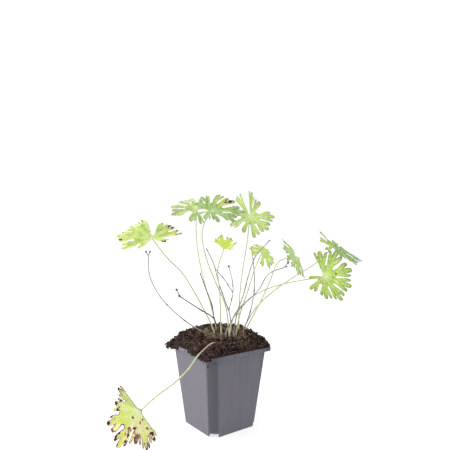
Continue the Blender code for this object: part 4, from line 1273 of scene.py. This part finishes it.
def ridge_crumbs(build, balls, draw):
    for right, away, size in RIDGE_LUMPS:
        x, y, _ = to_pot((right, away, 0))
        for _ in range(LUMP_CRUMBS):
            a, b = x + draw.uniform(-1, 1) * size, y + draw.uniform(-1, 1) * size
            a, b = np.clip((a, b), -LUMP_REACH, LUMP_REACH)
            spot = ground_spot(a, b)
            spot[2] += draw.uniform(-0.1, 0.85) * size
            crumb(build, balls, spot, size * draw.uniform(0.35, 0.7), draw)


def rim_crumbs(build, balls, draw):
    """Ragged crumbs that hang over the rim, and ones that stick to the pot below it."""
    for centre, half in SPILLS:
        for _ in range(SPILL_CRUMBS):
            way = unit(np.array([draw.gauss(0, 1) for _ in range(3)]))
            spot = np.array(centre) + way * np.array(half) * draw.uniform(0.6, 1.0)
            crumb(build, balls, spot, draw.uniform(*SPILL_SIZES), draw)
    small, small_faces = balls[0]
    for axis, crumbs in ((0, LEFT_CRUMBS), (1, RIGHT_CRUMBS)):
        for along, z, size in crumbs:
            half = RIM_HALF if z > POT_HEIGHT - RIM_DROP else wall_half(z)
            spot = np.array([along, along, z], float)
            spot[axis] = -half - size * 0.3
            lumps = np.array([1 + 0.4 * draw.uniform(-1, 1) for _ in small])
            build.add(spot + small * lumps[:, None] * size, small_faces, tone=0.3)
    for *spot, size in CORNER_CRUMBS:
        crumb(build, balls, np.array(spot), size, draw)


def make_crumbs(mat):
    """Loose crumbs of peat on the mound, larger ones on its ridge, and ragged ones that hang over the rim."""
    draw = random.Random(11)
    build = Build()
    for kind in (loose_crumbs, ridge_crumbs, rim_crumbs):
        kind(build, (ico(1), ico(2)), draw)
    build.piece("peat_crumbs", None, [mat])


def make_fibres(name, mat, count, seed, length, radius, rise):
    """Root fibres and straws that lie on the peat and stick out of it."""
    draw = random.Random(seed)
    build = Build()
    for _ in range(count):
        a, b = on_square(draw, LOOSE_REACH)
        if abs(a) + abs(b) > CUT_CORNER:
            continue
        heading = draw.uniform(0, math.tau)
        bend = draw.uniform(-0.07, 0.07)
        run = draw.uniform(*length)
        pitch = draw.uniform(*rise)
        spot = ground_spot(a, b)
        line = []
        for step in range(FIBRE_STEPS):
            t = step / (FIBRE_STEPS - 1) - 0.5
            heading += bend * run / FIBRE_STEPS
            spot = spot + np.array([math.cos(heading), math.sin(heading), 0]) * run / FIBRE_STEPS
            x, y = np.clip(spot[:2], -FIBRE_REACH, FIBRE_REACH)
            low = ground_height(x, y) - ease(np.array([[x, y, 0.0]]) @ TO_POT)[0]
            line.append((x, y, low + FIBRE_HEIGHT + pitch * run * (t + 0.35) - 1.2 * t * t))
        points, faces, _ = tube(line, FIBRE_TAPER * draw.uniform(*radius), 5)
        build.add(points, faces)
    build.piece(name, None, [mat])


def make_moss(mat):
    """Small cushions of moss shoots, each with rings of narrow leaves."""
    draw = random.Random(21)
    build = Build()
    for right, away, radius, count in MOSS_PATCHES:
        for _ in range(count):
            angle, far = draw.uniform(0, math.tau), radius * math.sqrt(draw.random())
            x, y, _ = to_pot((right + far * math.cos(angle), away + far * math.sin(angle), 0))
            if max(abs(x), abs(y)) > LOOSE_REACH:
                continue
            foot = ground_spot(x, y) + (0, 0, 0.2)
            if in_crown(x, y):
                foot[2] = ground_height(x, y) + CROWN_SWELL * 0.8 + 0.3
            tall = draw.uniform(*MOSS_HEIGHTS) * (1.15 - 0.5 * far / radius)
            up = unit(np.array([*on_square(draw, MOSS_LEAN), 1.0]))
            for level in MOSS_LEVELS:
                for k in range(MOSS_LEAVES):
                    a = math.tau * (k + 0.5 * (level > 0.5)) / MOSS_LEAVES + draw.uniform(-0.2, 0.2)
                    out = np.array([math.cos(a), math.sin(a), 0.0])
                    base = foot + up * tall * level
                    tip = base + unit(out + up * (0.5 + level)) * draw.uniform(*MOSS_LEAF)
                    side = np.cross(up, out) * MOSS_LEAF_HALF
                    build.add([base - side, base + side, base + up * 0.14 + out * 0.1, tip], SPIKE)
    build.piece("moss", None, [mat], smooth=False)


def make_crown(mat):
    """The woody crown: a knobbly dome in the peat."""
    build = Build()
    turns = np.linspace(0, math.tau, CROWN_SIDES, endpoint=False)
    circle = np.stack([CROWN_HALF[0] * np.cos(turns), CROWN_HALF[1] * np.sin(turns), 0 * turns], axis=1)
    top = to_pot(np.vstack([circle * share for share in CROWN_SHARES]) + (*CROWN_CENTRE, 0))
    swell = CROWN_SWELL * (1 - np.repeat(CROWN_SHARES, CROWN_SIDES) ** 3)
    top[:, 2] = ground_height(top[:, 0], top[:, 1]) + swell
    knobs = 1.8 * cell_bumps(top, 0.2) + 1.3 * cell_bumps(top, 0.5) + 0.5 * noise_at(top, 1.1, Vector())
    top[:, 2] += knobs * 0.9
    top[-2 * CROWN_SIDES:, 2] -= np.repeat((1.0, 5.0), CROWN_SIDES)
    points, faces = loft(top.reshape(-1, CROWN_SIDES, 3))
    build.add(points, [face[::-1] for face in faces], tone=0.5)
    build.piece("crown_fine", "crown", [mat])


def on_crown(draw, share):
    """A place on the crown, (right, away)."""
    a, far = draw.uniform(0, math.tau), math.sqrt(draw.random())
    return (CROWN_CENTRE[0] + CROWN_HALF[0] * far * math.cos(a) * share,
            CROWN_CENTRE[1] + CROWN_HALF[1] * far * math.sin(a) * share)


def scale_faces():
    """Faces of a thin slab: a grid of points over another one."""
    rows, columns = len(SCALE_ROWS), len(SCALE_COLUMNS)
    count = rows * columns
    faces = []
    for r in range(rows - 1):
        for c in range(columns - 1):
            q = r * columns + c
            face = (q, q + 1, q + columns + 1, q + columns)
            faces += [face, tuple(v + count for v in face[::-1])]
    edges = [(r * columns, (r + 1) * columns) for r in range(rows - 1)]
    edges += [((r + 2) * columns - 1, (r + 1) * columns - 1) for r in range(rows - 1)]
    edges += [(c + 1, c) for c in range(columns - 1)]
    edges += [(count - columns + c, count - columns + c + 1) for c in range(columns - 1)]
    return faces + [(a, b, b + count, a + count) for a, b in edges]


def make_scales(mat, stub_mat):
    """Papery scales and stubs of old stems on the crown."""
    draw = random.Random(31)
    build = Build()
    feet = [leaf["stem"] for leaf in LEAVES.values()] + [runs[0] for runs in STALKS.values()]
    places = []
    for foot in feet:
        for _ in range(FOOT_SCALES):
            a = draw.uniform(0, math.tau)
            places.append((foot[0][0] + FOOT_RING * math.cos(a) * draw.uniform(0.5, 1.2),
                           foot[0][1] + FOOT_RING * math.sin(a) * draw.uniform(0.5, 1.2), a))
    for _ in range(LOOSE_SCALES):
        places.append((*on_crown(draw, 0.95), draw.uniform(0, math.tau)))
    faces = scale_faces()
    for right, away, a in places:
        x, y, _ = to_pot((right, away, 0))
        foot = np.array([x, y, ground_height(x, y) + 1.0])
        out = to_pot((math.cos(a), math.sin(a), 0))
        lean = draw.uniform(0.2, 1.3)
        long, wide = draw.uniform(*SCALE_LENGTHS), draw.uniform(*SCALE_WIDTHS)
        up = unit(out * lean + np.array([0, 0, 1.0]))
        side = unit(np.cross(up, out))
        face_out = np.cross(side, up)
        rows = []
        for t, w in SCALE_ROWS:
            mid = foot + up * long * t + out * (lean * 0.9 * t * t)
            rows += [mid + side * wide * w * s - face_out * (0.35 * wide * w * (s * s - 0.4))
                     for s in SCALE_COLUMNS]
        half = face_out * SCALE_HALF_THICKNESS
        build.add(np.vstack([rows + half, rows - half]), faces, 0)
    for _ in range(STUBS):
        x, y, _ = to_pot((*on_crown(draw, 0.9), 0))
        foot = np.array([x, y, ground_height(x, y) - 1.0])
        lean = unit(np.array([*on_square(draw, STUB_LEAN), 1.0]))
        tall, thick = draw.uniform(*STUB_HEIGHTS), draw.uniform(*STUB_RADII)
        line = [foot + lean * tall * t + np.array([0.4 * math.sin(4 * t), 0, 0])
                for t in np.linspace(0, 1, len(STUB_TAPER))]
        points, faces, way = tube(line, STUB_TAPER * thick, STEM_SIDES, 0.08)
        build.add(points, faces, 1, along=way)
    build.piece("crown_scales", None, [mat, stub_mat])


def make_floor(mat):
    mesh = bpy.data.meshes.new("floor")
    corners = [(x * FLOOR_HALF, y * FLOOR_HALF, 0) for x, y in ((-1, -1), (1, -1), (1, 1), (-1, 1))]
    mesh.from_pydata(corners, [], [(0, 1, 2, 3)])
    mesh.materials.append(mat)
    floor = in_scene("floor", mesh)
    floor.location = (0, 0, FLOOR_DROP)


def make_light():
    data = bpy.data.lights.new("key", "AREA")
    data.shape = "DISK"
    data.size = LIGHT_SIZE
    data.energy = LIGHT_POWER
    lamp = in_scene("key", data)
    lamp.location = to_pot(LIGHT_PLACE)
    lamp.rotation_euler = (Vector(LIGHT_TARGET) - lamp.location).to_track_quat("-Z", "Y").to_euler()


def make_camera():
    data = bpy.data.cameras.new("camera")
    data.lens = SENSOR
    data.sensor_width = SENSOR
    data.clip_end = 100.0
    camera = in_scene("camera", data)
    camera.location = to_pot(CAMERA_PLACE) * MM
    camera.rotation_euler = (math.radians(90) + CAMERA_TILT, 0.0, VIEW_TURN)
    bpy.context.scene.camera = camera


def make_world():
    world = bpy.data.worlds.new("studio")
    world.use_nodes = True
    back = world.node_tree.nodes["Background"]
    back.inputs["Color"].default_value = (*WHITE, 1.0)
    back.inputs["Strength"].default_value = SKY_STRENGTH
    bpy.context.scene.world = world
    bpy.context.scene.view_settings.view_transform = "Standard"


make_camera()
make_world()
make_light()
make_floor(floor_material())

make_pot(pot_material())
make_peat(peat_material("peat dark"))
make_crumbs(peat_material("peat crumb"))
make_fibres("root_fibres", fibre_material("root fibre"), 260, 41, (6.0, 17.0), (0.12, 0.30), (-0.05, 0.30))
make_fibres("pale_straws", fibre_material("pale straw"), 26, 43, (3.0, 8.0), (0.12, 0.26), (-0.05, 0.22))
make_moss(moss_material())
make_crown(peat_material("crown bark"))
make_scales(fibre_material("crown scale"), stalk_material("crown stub"))

leaf_stem = stem_material()
for number, (leaf_name, leaf_data) in enumerate(LEAVES.items(), 1):
    make_leaf(leaf_name, leaf_data, number, leaf_stem)
straw = stalk_material("dry stalk")
dark_straw = stalk_material("dark stalk")
for number, (stalk_name, stalk_runs) in enumerate(STALKS.items(), 1):
    make_stalk(stalk_name, stalk_runs, number, dark_straw if stalk_name == "stalk_2" else straw)
